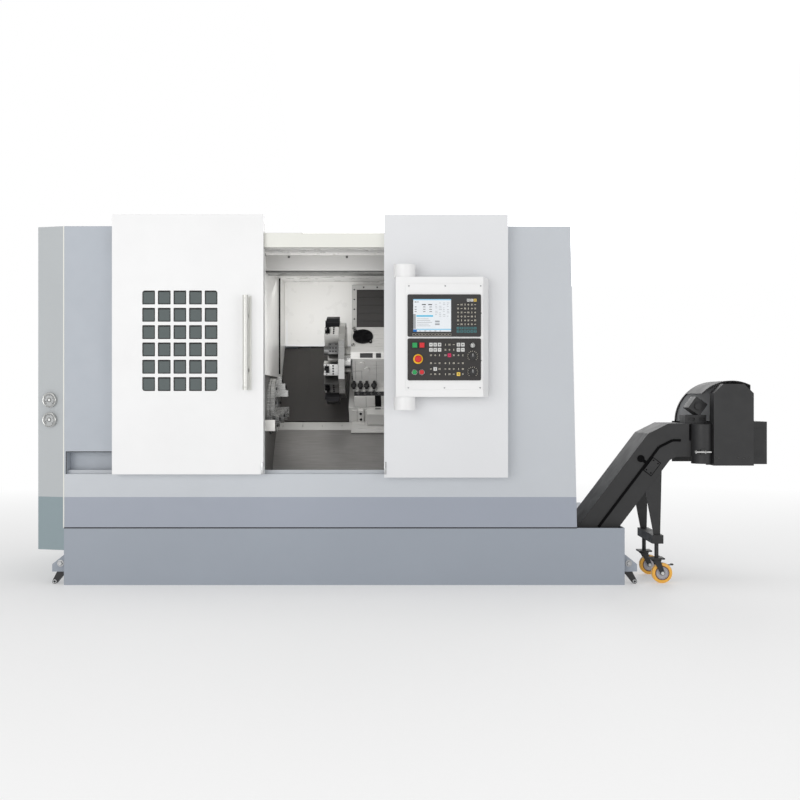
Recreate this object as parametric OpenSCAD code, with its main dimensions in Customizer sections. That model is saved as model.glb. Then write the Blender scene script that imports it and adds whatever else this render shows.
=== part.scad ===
// Slant-bed turning centre with a sliding door, a swivelling operator pendant
// and a side-exit chip conveyor.
// Datum while drawing: X = 0 at the left end of the base tray, Y = 0 at its front face, Z = 0 on the floor.
// place() then moves everything so that the origin lies under the middle of the whole machine.

/* [Base tray] */
// Reach of the base tray past the right end of the enclosure
base_reach = 255; // [252:1:300]
// Depth of the base tray
base_w = 1500; // [1460:10:1700]
// Height of the base tray
base_h = 305; // [290:5:330]
// Plate thickness of the base tray
base_plate = 8; // [5:1:12]
// Clear width of the chip trough along the front
trough_w = 404; // [392:2:420]
// Bays between the cross ribs under the rear deck
base_bays = 4; // [2:1:6]
// Reach of the foot brackets past the ends of the tray
bracket_l = 75; // [60:1:90]
// Height of a foot bracket
bracket_h = 100; // [80:1:120]
// Floor clearance under a foot bracket
bracket_z = 66; // [60:1:72]
// Thickness of a foot bracket and its lug
bracket_t = 40; // [30:1:60]
// Radius of the rounded lug end that meets the floor
lug_r = 13; // [11:0.5:16]
// Diameter of the anchor hole in a lug
lug_hole_d = 12; // [8:0.5:16]

/* [Enclosure] */
// Length of the enclosure at the bottom
body_l = 2745; // [2700:5:2750]
// Height of the grey panels above the floor
body_h = 1920; // [1900:5:1960]
// Lean of the right end from bottom to top
end_lean = 35; // [0:1:60]
// Height of the roof above the floor
roof_h = 1890; // [1882:1:1896]
// Sheet thickness
sheet = 3; // [2:0.5:4]
// Depth of the folded returns
return_d = 40; // [25:1:50]
// Height of the window sill above the floor
sill_h = 594; // [560:2:620]
// Width of the front left panel
left_panel_w = 1010; // [960:5:1030]
// Height of the door track pocket above the sill
pocket_h = 117; // [100:1:140]
// Depth of the door track pocket
pocket_d = 80; // [70:1:90]
// Left margin of the door track pocket
pocket_margin = 14; // [8:1:30]
// Width of the left end cover
cover_w = 150; // [120:5:180]
// Set-back of the left end cover at its outer edge
cover_setback = 40; // [20:1:60]
// Height of the lower edge of the left end cover
cover_z = 187; // [150:1:240]
// Diameter of a pressure gauge
gauge_d = 80; // [60:1:90]
// Height of the upper gauge
gauge_z = 990; // [900:5:1100]
// Spacing of the two gauges
gauge_pitch = 106; // [96:1:140]
// Depth of a gauge case in front of the cover
gauge_depth = 22; // [14:1:30]
// Diameter of the bar feed hole in the left end cover
feed_hole_d = 110; // [90:1:130]

/* [Sliding door] */
// Left edge of the open door
door_x = 276; // [250:1:290]
// Width of the door
door_w = 800; // [780:1:806]
// Depth of the door and of the fixed panel
door_t = 70; // [64:1:80]
// Gap between the door and the panels behind it
door_gap = 5; // [4:0.5:8]
// Top of the door and the fixed panel above the floor
door_top = 1970; // [1950:1:1990]
// Clearance under the door
door_lift = 3; // [2:0.5:6]
// Columns of window cells
cell_cols = 5; // [3:1:6]
// Rows of window cells
cell_rows = 6; // [4:1:7]
// Width of a window cell
cell_w = 67; // [50:1:76]
// Height of a window cell
cell_h = 73.5; // [56:0.5:80]
// Width of the upright window bars
bar_w = 15.5; // [10:0.5:20]
// Width of the level window bars
bar_h = 18; // [10:0.5:24]
// Distance of the window centre from the left edge of the door
window_x = 359; // [340:1:380]
// Height of the window centre above the floor
window_z = 1303; // [1250:1:1350]
// Corner radius of a window cell
cell_r = 4; // [2:0.5:8]
// Corner radius of the whole window
window_r = 14; // [8:1:20]
// Thickness of the window glass
glass_t = 6; // [4:0.5:8]
// Overlap of the glass behind the door skin
glass_lap = 12; // [8:1:16]
// Length of the door handle
handle_l = 498; // [420:1:560]
// Diameter of the door handle bar
handle_d = 30; // [24:1:36]
// Distance of the handle from the right edge of the door
handle_inset = 88; // [70:1:110]
// Height of the handle centre above the floor
handle_z = 1291; // [1250:1:1340]
// Spacing of the handle posts
handle_posts = 287; // [240:1:320]
// Stand-off of the handle axis from the door skin
handle_off = 48; // [40:1:60]
// Left edge of the fixed panel
fixed_x = 1714; // [1712:1:1730]
// Width of the fixed panel
fixed_w = 655; // [640:1:680]
// Lap of the fixed panel over the sill band
fixed_lap = 14; // [8:1:30]
// Depth of the door beam
beam_d = 45; // [36:1:48]
// Height of the door beam
beam_h = 76; // [60:1:80]
// Top of the door beam above the floor
beam_top = 1877; // [1860:1:1880]
// Diameter of a door roller
roller_d = 44; // [36:1:52]

/* [Slant bed] */
// Distance of the spindle axis behind the front of the tray
spindle_y = 480; // [470:1:500]
// Height of the spindle axis above the floor
spindle_z = 957; // [945:1:975]
// Slope of the bed
slant = 45; // [44:0.5:46]
// Distance from the spindle axis to the slideways
way_n = 320; // [312:1:330]
// Height of the slideways above the bed
way_h = 40; // [34:1:46]
// Width of a slideway
way_w = 70; // [60:1:80]
// Left end of the bed
bed_x = 520; // [500:5:540]
// Length of the bed
bed_l = 2080; // [2060:5:2100]
// Wall thickness of the bed casting
bed_wall = 36; // [28:1:60]
// Distance of the back of the bed from the back of the tray
bed_back = 80; // [70:5:120]

/* [Headstock and drive] */
// Left face of the headstock
head_x = 330; // [320:1:380]
// Length of the headstock
head_l = 600; // [580:1:620]
// Half width of the headstock along the slope
head_u = 200; // [185:1:205]
// Height of the headstock above the spindle axis
head_n = 190; // [180:1:200]
// Diameter of the spindle in its bearings
spindle_d = 150; // [130:1:160]
// Through bore of the spindle
spindle_bore = 76; // [60:1:82]
// Diameter of the spindle pulley
spindle_pulley_d = 220; // [190:2:240]
// Diameter of the motor pulley
motor_pulley_d = 160; // [140:2:176]
// Width of both pulleys
pulley_w = 84; // [76:2:96]
// Left face of both pulleys
pulley_x = 96; // [90:1:110]
// Grooves in a pulley
pulley_grooves = 5; // [3:1:6]
// Thickness of the drive belt
belt_t = 9; // [6:0.5:10]
// Diameter of the spindle motor
motor_d = 260; // [230:2:270]
// Length of the spindle motor
motor_l = 290; // [250:5:300]
// Distance of the motor axis behind the spindle axis
motor_dy = 420; // [410:2:440]
// Height of the motor axis above the base tray
motor_dz = 215; // [205:1:240]
// Diameter of the motor shaft
motor_shaft_d = 48; // [38:1:60]

/* [Chuck] */
// Diameter of the chuck
chuck_d = 315; // [300:1:318]
// Length of the chuck body
chuck_l = 96; // [86:1:104]
// Width of a chuck jaw
jaw_w = 44; // [36:1:48]
// Depth of a jaw slot
slot_h = 22; // [18:1:28]
// Length of a jaw in front of the chuck
jaw_l = 60; // [50:1:70]
// Smallest distance of a jaw from the spindle axis
jaw_r = 52; // [48:1:56]
// Largest distance of a jaw from the spindle axis
jaw_reach = 166; // [150:1:168]

/* [Slides and turret] */
// Left face of the saddle
saddle_x = 1490; // [1485:1:1495]
// Length of the saddle
saddle_l = 410; // [400:1:420]
// Lower end of the saddle along the slope
saddle_u = 170; // [165:1:180]
// Length of the saddle along the slope
saddle_w = 670; // [660:1:680]
// Thickness of the saddle
saddle_t = 130; // [126:1:134]
// Top of the upright shield on the saddle
shield_top = 1728; // [1700:1:1740]
// Lower end of the cross slide along the slope
cross_u = 182; // [178:1:190]
// Length of the cross slide along the slope
cross_w = 390; // [380:1:396]
// Thickness of the cross slide
cross_t = 90; // [86:1:94]
// Inset of the cross slide from the ends of the saddle
cross_inset = 35; // [30:1:45]
// Place of the turret axis along the slope
turret_u = 382; // [374:1:390]
// Diameter of the turret disc
turret_d = 440; // [400:1:450]
// Thickness of the turret disc
turret_t = 36; // [30:1:42]
// Stations on the turret
stations = 12; // [8:1:12]
// Width of a tool holder
holder_w = 68; // [56:1:72]
// Length of a tool holder in front of the disc
holder_l = 84; // [70:1:90]
// Outer reach of a tool holder from the turret axis
holder_r = 240; // [230:1:244]
// Inner reach of a tool holder from the turret axis
holder_in = 150; // [146:1:160]
// Side of the square tool shanks
tool_s = 25; // [20:1:32]
// Reach of the tool tips from the turret axis
tool_r = 262; // [250:1:268]
// Length of the turret housing
housing_l = 322; // [300:1:330]
// Lower end of the turret housing along the slope
housing_u = 262; // [256:1:268]
// Upper end of the turret housing along the slope
housing_u2 = 551; // [540:1:560]
// Height of the turret housing above its axis
housing_n = 154; // [146:1:160]
// Diameter of the round cover on the turret housing
cap_d = 118; // [90:1:126]
// Diameter of the round bosses on the front of the turret housing
boss_d = 32; // [26:1:40]
// Length of one way cover plate
plate_l = 268; // [262:1:274]
// Way cover plate thickness
plate_t = 3; // [2:0.5:3]
// Free gap between nested way cover plates
plate_gap = 0.5; // [0.3:0.1:0.6]

/* [Tailstock] */
// Left face of the tailstock
tail_x = 2200; // [2190:1:2220]
// Length of the tailstock
tail_l = 320; // [300:1:330]
// Width of the tailstock along the slope
tail_w = 195; // [180:1:200]
// Diameter of the tailstock barrel
barrel_d = 186; // [170:1:192]
// Diameter of the quill
quill_d = 110; // [90:1:120]
// Reach of the quill in front of the barrel
quill_out = 90; // [70:1:110]
// Length of the centre point
point_l = 80; // [60:1:90]

/* [Guards] */
// Left face of the headstock guard
guard_x = 1047; // [1044:1:1050]
// Distance of the rear guard behind the front of the tray
guard_y = 1285; // [1283:1:1290]
// Height of the fold where the rear guard meets the ceiling
ceiling_z = 1756; // [1752:1:1760]
// Clear height of the work area behind the beam
lintel_z = 1798; // [1790:1:1799]
// Distance of the lamp box behind the front of the tray
lamp_y = 250; // [240:1:260]
// Depth of the lamp box
lamp_d = 150; // [120:1:170]
// Lower edge of the lamp box
lamp_z = 1703; // [1690:1:1720]
// Distance of the lower edge of the chip slope behind the front of the tray
slope_y = 430; // [426:1:440]
// Height of the lower edge of the chip slope
slope_z = 420; // [400:1:440]

/* [Operator pendant] */
// Left edge of the pendant
pendant_x = 1776; // [1772:1:1780]
// Width of the pendant at its back
pendant_w = 488; // [480:1:500]
// Lower edge of the pendant
pendant_z = 1006; // [1000:1:1020]
// Height of the pendant
pendant_h = 620; // [610:1:630]
// Depth of the pendant
pendant_t = 120; // [112:1:126]
// Slope of the right side from back to front
pendant_bevel = 36; // [20:1:40]
// Gap between the pendant and the fixed panel
pendant_gap = 20; // [18:1:30]
// Distance of the swivel axis from the left edge
pivot_x = 46; // [40:1:48]
// Diameter of the swivel knuckles
knuckle_d = 112; // [96:1:114]
// Height of a swivel knuckle
knuckle_h = 68; // [56:1:76]
// Diameter of a swivel pin
pivot_pin_d = 36; // [30:1:44]
// Depth of a swivel pin in the pendant
pivot_pin_l = 45; // [30:1:60]
// Left margin of the faceplate
face_margin = 52; // [46:1:56]
// Width of the faceplate
face_w = 396; // [390:1:398]
// Lower margin of the faceplate
face_bottom = 36; // [30:1:42]
// Height of the faceplate
face_h = 547; // [540:1:552]
// Thickness of the faceplate and of the units on it
face_t = 5; // [4:0.5:6]
// Width of the display unit and of the control panel
unit_w = 378; // [370:1:384]
// Height of the display unit
display_h = 218; // [214:1:222]
// Height of the control panel
control_h = 216; // [212:1:220]
// Height of the upper edge of the display unit above the pendant's lower edge
display_top = 528; // [524:1:532]
// Gap between the display unit and the control panel
unit_gap = 9; // [4:1:14]
// Width of the screen
screen_w = 201; // [190:1:212]
// Height of the screen
screen_h = 177; // [168:1:182]
// Left margin of the screen
screen_margin = 26; // [18:1:34]
// Upper margin of the screen
screen_top = 17; // [10:1:24]
// Side of the square push buttons
square_button = 25; // [20:1:28]
// Diameter of the round push buttons
round_button_d = 22; // [18:1:28]
// Diameter of the emergency stop head
stop_d = 36; // [32:1:40]
// Diameter of the override knobs
knob_d = 40; // [34:1:42]
// Diameter of the key switch
key_d = 24; // [20:1:28]
// Travel of the push buttons
button_travel = 3; // [2:0.5:3.5]
// Diameter of the stems of all controls
stem_d = 10; // [8:0.5:11]

/* [Chip conveyor] */
// Height of the conveyor casing square to its run
casing_h = 180; // [170:1:186]
// Width of the conveyor casing
casing_w = 340; // [330:1:346]
// Distance of the casing behind the front of the tray
casing_y = 60; // [56:1:64]
// Plate thickness of the casing
casing_t = 5; // [4:0.5:6]
// Angle of the rising run
rise = 52.8; // [51:0.2:54]
// Left end of the level run
casing_x = 900; // [800:10:1000]
// Clearance between the rising run and the right end of the enclosure
casing_clear = 12; // [10:1:16]
// Height of the top of the delivery run above the floor
delivery_z = 863; // [850:1:880]
// Length of the delivery run past the upper bend
delivery_l = 225; // [215:1:235]
// Radius of the curved head cover
drum_r = 225; // [215:1:235]
// Height of the drum axis above the top of the delivery run
drum_up = 7; // [4:1:12]
// Distance of the drum axis past the end of the delivery run
drum_past = 140; // [130:1:150]
// Height of the near edge of the curved cover above the drum axis
cover_up = 155; // [150:1:165]
// Lower edge of the head above the floor
drop_z = 640; // [630:1:655]
// Length of the head to the right of the drum axis
head_right = 100; // [92:1:108]
// Depth of the chain guard
chain_d = 80; // [70:1:90]
// Width of the chain guard
chain_w = 213; // [200:1:220]
// Top of the chain guard above the drum axis
chain_up = 206; // [196:1:214]
// Chamfer on the upper corners of the chain guard
chain_cut = 50; // [40:1:60]
// Length of the motor cover on the right of the head
drive_l = 110; // [90:1:130]
// Height of the motor cover
drive_h = 232; // [220:1:240]
// Depth of the motor cover
drive_d = 285; // [260:1:300]
// Side of the square gear unit
reducer_side = 76; // [68:1:84]
// Depth of the gear unit
reducer_d = 120; // [100:1:140]
// Height of the slotted base under the gear unit
reducer_base_h = 46; // [40:1:50]
// Diameter of the half-round take-up housing on the near side of the head
take_up_w = 130; // [120:1:140]
// Height of the take-up housing
take_up_h = 212; // [200:1:220]
// Distance of the stand from the right end of the tray
stand_x = 187; // [180:1:200]
// Side of the square cross beam of the stand
stand_beam = 46; // [40:1:50]
// Upper face of the cross beam
stand_z = 262; // [250:1:275]
// Diameter of the threaded stems
stem_rod_d = 22; // [18:1:26]
// Diameter of a castor wheel
wheel_d = 110; // [100:1:116]
// Width of a castor wheel
wheel_w = 34; // [28:1:38]
// Trail of a castor
castor_trail = 28; // [22:1:32]
// Diameter of a castor axle
castor_axle_d = 12; // [10:1:16]
// Thickness of a castor fork plate
fork_t = 5; // [4:0.5:6]

/* [Electrical cabinet] */
// Left side of the cabinet
cabinet_x = 1300; // [1200:10:1400]
// Width of the cabinet
cabinet_w = 1000; // [900:10:1100]
// Depth of the cabinet
cabinet_d = 300; // [250:5:350]
// Lower edge of the cabinet
cabinet_z = 450; // [400:10:500]
// Height of the cabinet
cabinet_h = 1350; // [1300:10:1400]
// Thickness of the cabinet door
cabinet_door_t = 24; // [18:1:30]
// Diameter of a hinge knuckle
hinge_d = 18; // [14:1:22]
// Diameter of a hinge pin
hinge_pin_d = 9; // [6:0.5:11]
// Height of a hinge knuckle
hinge_h = 45; // [36:1:60]

/* [Hidden] */
$fn = 64;
// Overshoot of cutting shapes
over = 1;
// Clearance of flat slides
slide_gap = 0.2;
// Radial clearance of shafts and pins
run_gap = 0.1;
// Free gap between parts that pass close by
free_gap = 0.3;
// Gap under parts that are bolted down on a sloping or leaning face
seat_gap = 0.05;

light_grey = [0.70, 0.72, 0.76];
mid_grey = [0.61, 0.64, 0.68];
white_paint = [0.92, 0.92, 0.93];
stainless = [0.72, 0.72, 0.71];
dark_steel = [0.28, 0.28, 0.29];
cast_grey = [0.55, 0.57, 0.58];
black_paint = [0.15, 0.15, 0.16];
bright_steel = [0.78, 0.78, 0.80];
black_plastic = [0.09, 0.09, 0.10];

// Right end of the enclosure at the bottom, always clear of the bed
end_clear = 60;
end_x = max(body_l, bed_x + bed_l + end_lean + end_clear);

// Base tray
base_l = end_x + base_reach;
trough_y = base_plate + trough_w;
bay_w = (base_l - base_plate) / base_bays - base_plate;
foot_rows = [bracket_t, base_w - 2 * bracket_t];
bracket_nose = 40;
lug_x = bracket_l - lug_r;
lug_seat = 2;

// Front panels and door
panel_front = -(door_gap + door_t);
pocket_top = sill_h + pocket_h;
sill_lap = 30;
right_x = fixed_x + fixed_w - sill_lap;
door_z = sill_h + door_lift;
beam_low = beam_top - beam_h;
beam_wall = 4;
beam_clear = 8;
hanger_inset = 60;
hanger_w = 30;
// Least lap of a hanger on the door
hanger_grip = 40;
track_y = 30;
track_w = 12;
track_h = 20;
window_w = cell_cols * cell_w + (cell_cols - 1) * bar_w;
window_h = cell_rows * cell_h + (cell_rows - 1) * bar_h;
post_d = 20;

// Slides along the slope
// Margins and laps of the slideways
way_margin = 10;
bed_toe_lap = 15;
tail_way_lap = 50;
tail_edge = 5;
cover_gap = 4;
shield_gap = 2;
bed_n = way_n + way_h;
bed_toe = head_u + bed_toe_lap;
bed_back_y = base_w - bed_back;
saddle_end = saddle_u + saddle_w;
way_inset = 25;
way_lo = saddle_u + way_inset;
way_hi = saddle_end - way_inset - way_w;
bed_head = saddle_end + way_margin;
saddle_n = -way_n + saddle_t;
cross_n = saddle_n + cross_t;
tail_way_x = saddle_x + saddle_l - tail_way_lap;
tail_way_w = 60;
way_end = bed_x + bed_l - way_margin;
tail_u = 109.2;
tail_ways = [tail_edge - tail_u, tail_w - tail_u - tail_way_w - tail_edge];
keeper_h = way_h - way_margin;
cover_n = -way_n + cover_gap;
cover_lip = 14;
shield_t = 12;
shield_rim = 30;
shield_foot = slant_pt(saddle_end, saddle_n);
shield_y = shield_foot[0] - shield_t - shield_gap;
bearing_w = 190;
bearing_d = 45;
bearing_h = 90;
bearing_drop = 10;
relief_inset = 20;
slat_set = 1;

// Spindle line, from left to right
motor_y = spindle_y + motor_dy;
motor_z = base_h + motor_dz;
motor_x = pulley_x + pulley_w + 14;
shaft_in = 60;
groove_h = 7;
belt_inset = 4;
motor_foot_inset = 40;
cylinder_d = 190;
cylinder_l = 110;
nose_l = 50;
flange_l = 16;
flange_d = 210;
nose_d = flange_d + 40;
nose_x = head_x + head_l + nose_l;
chuck_x = nose_x + free_gap + flange_l;
chuck_face = chuck_x + chuck_l;
chuck_edge = 6;
jaw_heel = 20;
quill_edge = 4;
quill_back = 20;
guard_hole = chuck_d / 2 + 8;

// Turret line, from right to left
hub_l = 34;
hub_d = 160;
turret_shaft_d = 90;
turret_shaft_l = 70;
housing_x = saddle_x + 18;
disc_x = housing_x - hub_l - turret_t;
pitch = 360 / stations;
holder_cut = [14, 20];
tool_inset = [18, 8];
housing_cut = 40;
// Upright corner along the front of the housing, with two recesses as [left, right] from its left face
nose_cut = 29;
recesses = [[55, 130], [149, 179]];
recess_d = 12;
recess_h = 28;
// Places on the housing from its left face: bosses above the turret axis, the cap up from the lower end
boss_spots = [[65, 86], [94, 42]];
boss_h = 10;
cap_at = [69, 161];
cap_h = 8;

// Work area guards
guard_in = guard_x + sheet;
guard_front = pocket_d + 4;
guard_base = base_h + 15;
lamp_rise = 19;
saddle_corner = slant_pt(saddle_end, -way_n);
guard_foot = saddle_corner[1] + (saddle_corner[0] - guard_y) / tan(slant) + 6;
slope_head = slant_pt(saddle_u - 8, -way_n + 8);
guard_heel = slant_pt(saddle_end - over, -way_n + 8);
slope_end = tail_way_x - tail_edge;

// Operator pendant
pivot_y = panel_front - pendant_gap - knuckle_d / 2;
pivot = [pendant_x + pivot_x, pivot_y];
pendant_back = panel_front - pendant_gap;
pendant_front = pendant_back - pendant_t;
face_front = pendant_front - face_t;
unit_front = face_front - face_t;
unit_r = 8;
face_x = pendant_x + face_margin;
unit_x = face_x + (face_w - unit_w) / 2;
display_z = pendant_z + display_top - display_h;
control_z = display_z - unit_gap - control_h;
screen_x = unit_x + screen_margin;
screen_z = display_z + display_h - screen_top - screen_h;
press_gap = button_travel + 1;
head_t = 8;
stop_h = 30;
knob_h = 22;
arm_w = 70;
screen_set = 1.5;

// Places of the controls, from the upper left corner of the control panel
power_on_at = [37, 35];
power_off_at = [74, 35];
stop_at = [54, 106];
start_at = [36, 174];
hold_at = [73, 174];
key_at = [335, 36];
knob_at = [335, 91];
feed_at = [335, 173];

// Chip conveyor: centre line with two bends
level_z = base_plate + casing_h / 2;
half_run = casing_h / 2 / sin(rise);
cross_x = end_x + casing_clear + half_run;
bend_x = cross_x - (base_h - level_z) / tan(rise);
bend2_z = delivery_z - casing_h / 2;
bend2_x = cross_x + (bend2_z - base_h) / tan(rise);
delivery_x = bend2_x + delivery_l;
drum_x = delivery_x + drum_past;
drum_z = delivery_z + drum_up;
head_x1 = drum_x + head_right;
head_y = [casing_y - casing_t, casing_y + casing_w + casing_t];
casing_rows = [casing_y, casing_y + casing_w];
mouth_inset = 100;
rib_t = 6;
rib_slot = 1.5;
bend_facet = 82;
bend_cut = bend_facet / 2 / cos(rise / 2);
bend_ends = [[bend2_x - bend_cut * cos(rise), bend2_z - bend_cut * sin(rise)], [bend2_x + bend_cut, bend2_z]];
rim_d = 20;
head_lap = 100;
chain_past = 20;
take_up_past = 50;
take_up_z = 8;
reducer_turn = 35;
reducer_back = 37;
reducer_up = 10;
reducer_y = 20;
reducer_base = [-70, 45];
reducer_hub = 12;
slot_w = 36;
slot_d = 10;
stand_cx = base_l + stand_x;
leg_t = 8;
leg_top = [-62, 25];
leg_foot = [-18, 17];
stand_beam_w = 60;
beam_past = 20;
castor_top = wheel_d + 20;
castor_plate = 8;
castor_side = 38;
crown_h = 10;
crown_rim = 3;
fork_gap = 2;
axle_end = 4;
tyre_edge = 4;
hub_rim = 8;
hub_past = 1;
swivel_d = 16;
stem_inset = 15;
castor_rows = [casing_y + stem_inset, casing_y + casing_w - stem_inset];

// Electrical cabinet
cabinet_y = base_w + cabinet_d;
cabinet_gap = 1;
hinge_at = [cabinet_x - hinge_d / 2 - 2, cabinet_y + cabinet_gap + hinge_d / 2];
hinge_leaf = 4;
latch_d = 34;
latch_h = 26;
latch_inset = 60;
// Lower ends of the two hinges of the cabinet door
hinge_rows = [cabinet_z + cabinet_h * 0.15, cabinet_z + cabinet_h * 0.85];
// Depth and rim of the dial opening in a gauge case
gauge_recess = 4;
gauge_rim = 7;

// Middle of the whole machine
x_range = [-cover_w, head_x1 + drive_l];
y_range = [unit_front - press_gap - stop_h, cabinet_y + cabinet_gap + cabinet_door_t + latch_h];
mid_x = (x_range[0] + x_range[1]) / 2;
mid_y = (y_range[0] + y_range[1]) / 2;

// A point on the slope as [y, z]: u runs up the slope from the spindle axis, n stands square on it
function slant_pt(u, n) = [
    spindle_y + u * cos(slant) - n * sin(slant),
    spindle_z + u * sin(slant) + n * cos(slant)
];
// Height of a plane at distance n from the spindle axis, at depth y
function slant_z(y, n) = spindle_z + (y - spindle_y) * tan(slant) + n / cos(slant);
// Right edge of the enclosure at height z
function lean_x(z) = end_x - end_lean * (z - base_h) / (body_h - base_h);
// Underside of the rising conveyor run at x
function run_z(x) = base_h + (x - cross_x - half_run) * tan(rise);
// Corner of the casing at one end of its slanted stretch, at distance h from the centre line
function casing_corner(end, h) = let (turn = rise * (3 - 2 * end) / 4)
    bend_ends[end] + h / cos(rise / 4) * [-sin(turn), cos(turn)];
// Outline of the conveyor casing at half height h, between two ends
function casing_outline(h, x0, x1) = let (k = h * tan(rise / 2)) [
    [x0, level_z - h], [bend_x + k, level_z - h], casing_corner(0, -h), casing_corner(1, -h),
    [x1, bend2_z - h], [x1, bend2_z + h], casing_corner(1, h), casing_corner(0, h),
    [bend_x - k, level_z + h], [x0, level_z + h]
];
// Unit vector square to the left of a stretch from a to b
function left_of(a, b) = [a[1] - b[1], b[0] - a[0]] / norm(b - a);

module place() {
    translate([-mid_x, -mid_y, 0]) children();
}

module block(x, y, z) {
    translate([x[0], y[0], z[0]]) cube([x[1] - x[0], y[1] - y[0], z[1] - z[0]]);
}

// A shape drawn in Y and Z, run along X
module along_x(x) {
    translate([x[0], 0, 0]) rotate([90, 0, 90]) linear_extrude(x[1] - x[0]) children();
}

// A shape drawn in X and Z, run along Y
module along_y(y) {
    translate([0, y[1], 0]) rotate([90, 0, 0]) linear_extrude(y[1] - y[0]) children();
}

module along_z(z) {
    translate([0, 0, z[0]]) linear_extrude(z[1] - z[0]) children();
}

module rod_x(x, d) {
    translate([x[0], 0, 0]) rotate([0, 90, 0]) cylinder(h = x[1] - x[0], d = d);
}

module rod_y(y, d) {
    translate([0, y[0], 0]) rotate([-90, 0, 0]) cylinder(h = y[1] - y[0], d = d);
}

module rod_z(z, d) {
    translate([0, 0, z[0]]) cylinder(h = z[1] - z[0], d = d);
}

// A shape turned about the X axis from points of [radius, x]
module turned_x() {
    rotate([0, 90, 0]) rotate_extrude() children();
}

// X along the machine, Y up the slope, Z square on it, from the spindle axis
module on_slant() {
    translate([0, spindle_y, spindle_z]) rotate([slant, 0, 0]) children();
}

module at_spindle() {
    translate([0, spindle_y, spindle_z]) children();
}

module at_turret() {
    on_slant() translate([0, turret_u, 0]) children();
}

// A folded sheet pan, open towards the back
module pan(x, y, z) {
    difference() {
        block(x, y, z);
        block([x[0] + sheet, x[1] - sheet], [y[0] + sheet, y[1] + over], [z[0] + sheet, z[1] - sheet]);
    }
}

// A bent sheet along a path, with its thickness to the left of the path
module bent_sheet(path) {
    for (i = [0 : len(path) - 2]) {
        a = path[i];
        b = path[i + 1];
        along = (b - a) / norm(b - a) * sheet;
        out = left_of(a, b) * sheet;
        polygon([a - along, b + along, b + along + out, a - along + out]);
    }
}

module round_rect(w, h, r) {
    square([w - 2 * r, h], center = true);
    square([w, h - 2 * r], center = true);
    for (sx = [-1, 1], sz = [-1, 1]) translate([sx * (w / 2 - r), sz * (h / 2 - r)]) circle(r);
}

// One foot bracket, drawn outwards from the end of the tray
module bracket_outline() {
    polygon([[0, bracket_z], [bracket_l, bracket_z], [bracket_l, bracket_z + bracket_nose],
        [0, bracket_z + bracket_h]]);
}

module lug_outline() {
    difference() {
        union() {
            polygon([[lug_seat, bracket_z], [lug_x - lug_r, bracket_z], [lug_x + lug_r * 0.8, lug_r * 1.6],
                [lug_x - lug_r * 0.8, lug_r * 0.4]]);
            translate([lug_x, lug_r]) circle(lug_r);
        }
        translate([lug_x, lug_r]) circle(d = lug_hole_d);
    }
}

// Children drawn outwards at all four corners of the tray
module at_corners() {
    for (y = foot_rows) {
        translate([base_l, 0, 0]) along_y([y, y + bracket_t]) children();
        mirror([1, 0, 0]) along_y([y, y + bracket_t]) children();
    }
}

module base_tray() {
    color(mid_grey) place() {
        difference() {
            block([0, base_l], [0, base_w], [0, base_h]);
            block([base_plate, base_l - base_plate], [base_plate, trough_y], [base_plate, base_h + over]);
            for (bay = [0 : base_bays - 1]) {
                x = base_plate + bay * (bay_w + base_plate);
                block([x, x + bay_w], [trough_y + base_plate, base_w - base_plate],
                    [-over, base_h - base_plate]);
            }
        }
        at_corners() bracket_outline();
    }
}

module levelling_feet() {
    color(black_paint) place() at_corners() lug_outline();
}

module bed_outline() {
    toe = slant_pt(-bed_toe, -bed_n);
    top = slant_pt(bed_head, -bed_n);
    difference() {
        polygon([toe, top, [bed_back_y, top[1]], [bed_back_y, base_h], [toe[0], base_h]]);
        front = toe[0] + bed_wall;
        back = min(bed_back_y, top[0] + bed_wall) - bed_wall;
        inner_n = -bed_n - bed_wall;
        polygon([[front, base_h + bed_wall], [front, slant_z(front, inner_n)], [back, slant_z(back, inner_n)],
            [back, base_h + bed_wall]]);
    }
}

module slant_bed() {
    color(cast_grey) place() {
        along_x([bed_x, bed_x + bed_l]) bed_outline();
        on_slant() {
            for (u = [way_lo, way_hi])
                block([chuck_face, way_end], [u, u + way_w], [-bed_n - over, -way_n]);
            for (u = tail_ways)
                block([tail_way_x, way_end], [u, u + tail_way_w], [-bed_n - over, -way_n]);
        }
    }
}

module headstock() {
    bore = spindle_d + 2 * run_gap;
    seat_n = -bed_n + seat_gap;
    color(cast_grey) place() difference() {
        union() {
            on_slant() along_x([head_x, head_x + head_l])
                polygon([[-head_u, seat_n], [head_u, seat_n], [head_u, head_n / 3], [head_u * 0.6, head_n],
                    [-head_u * 0.6, head_n], [-head_u, head_n / 3]]);
            at_spindle() rod_x([head_x + head_l - over, nose_x], nose_d);
        }
        at_spindle() rod_x([head_x - over, nose_x + over], bore);
    }
}

module front_left_panel() {
    inner = pocket_margin - sheet;
    color(light_grey) place() {
        difference() {
            pan([0, left_panel_w], [0, return_d], [sill_h, body_h]);
            block([pocket_margin, left_panel_w + over], [-over, return_d + over],
                [sill_h - over, pocket_top]);
        }
        block([inner, left_panel_w], [0, pocket_d], [pocket_top, pocket_top + sheet]);
        block([inner, left_panel_w], [pocket_d - sheet, pocket_d], [sill_h, pocket_top + sheet]);
        block([inner, pocket_margin], [0, pocket_d], [sill_h, pocket_top + sheet]);
    }
}

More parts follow.
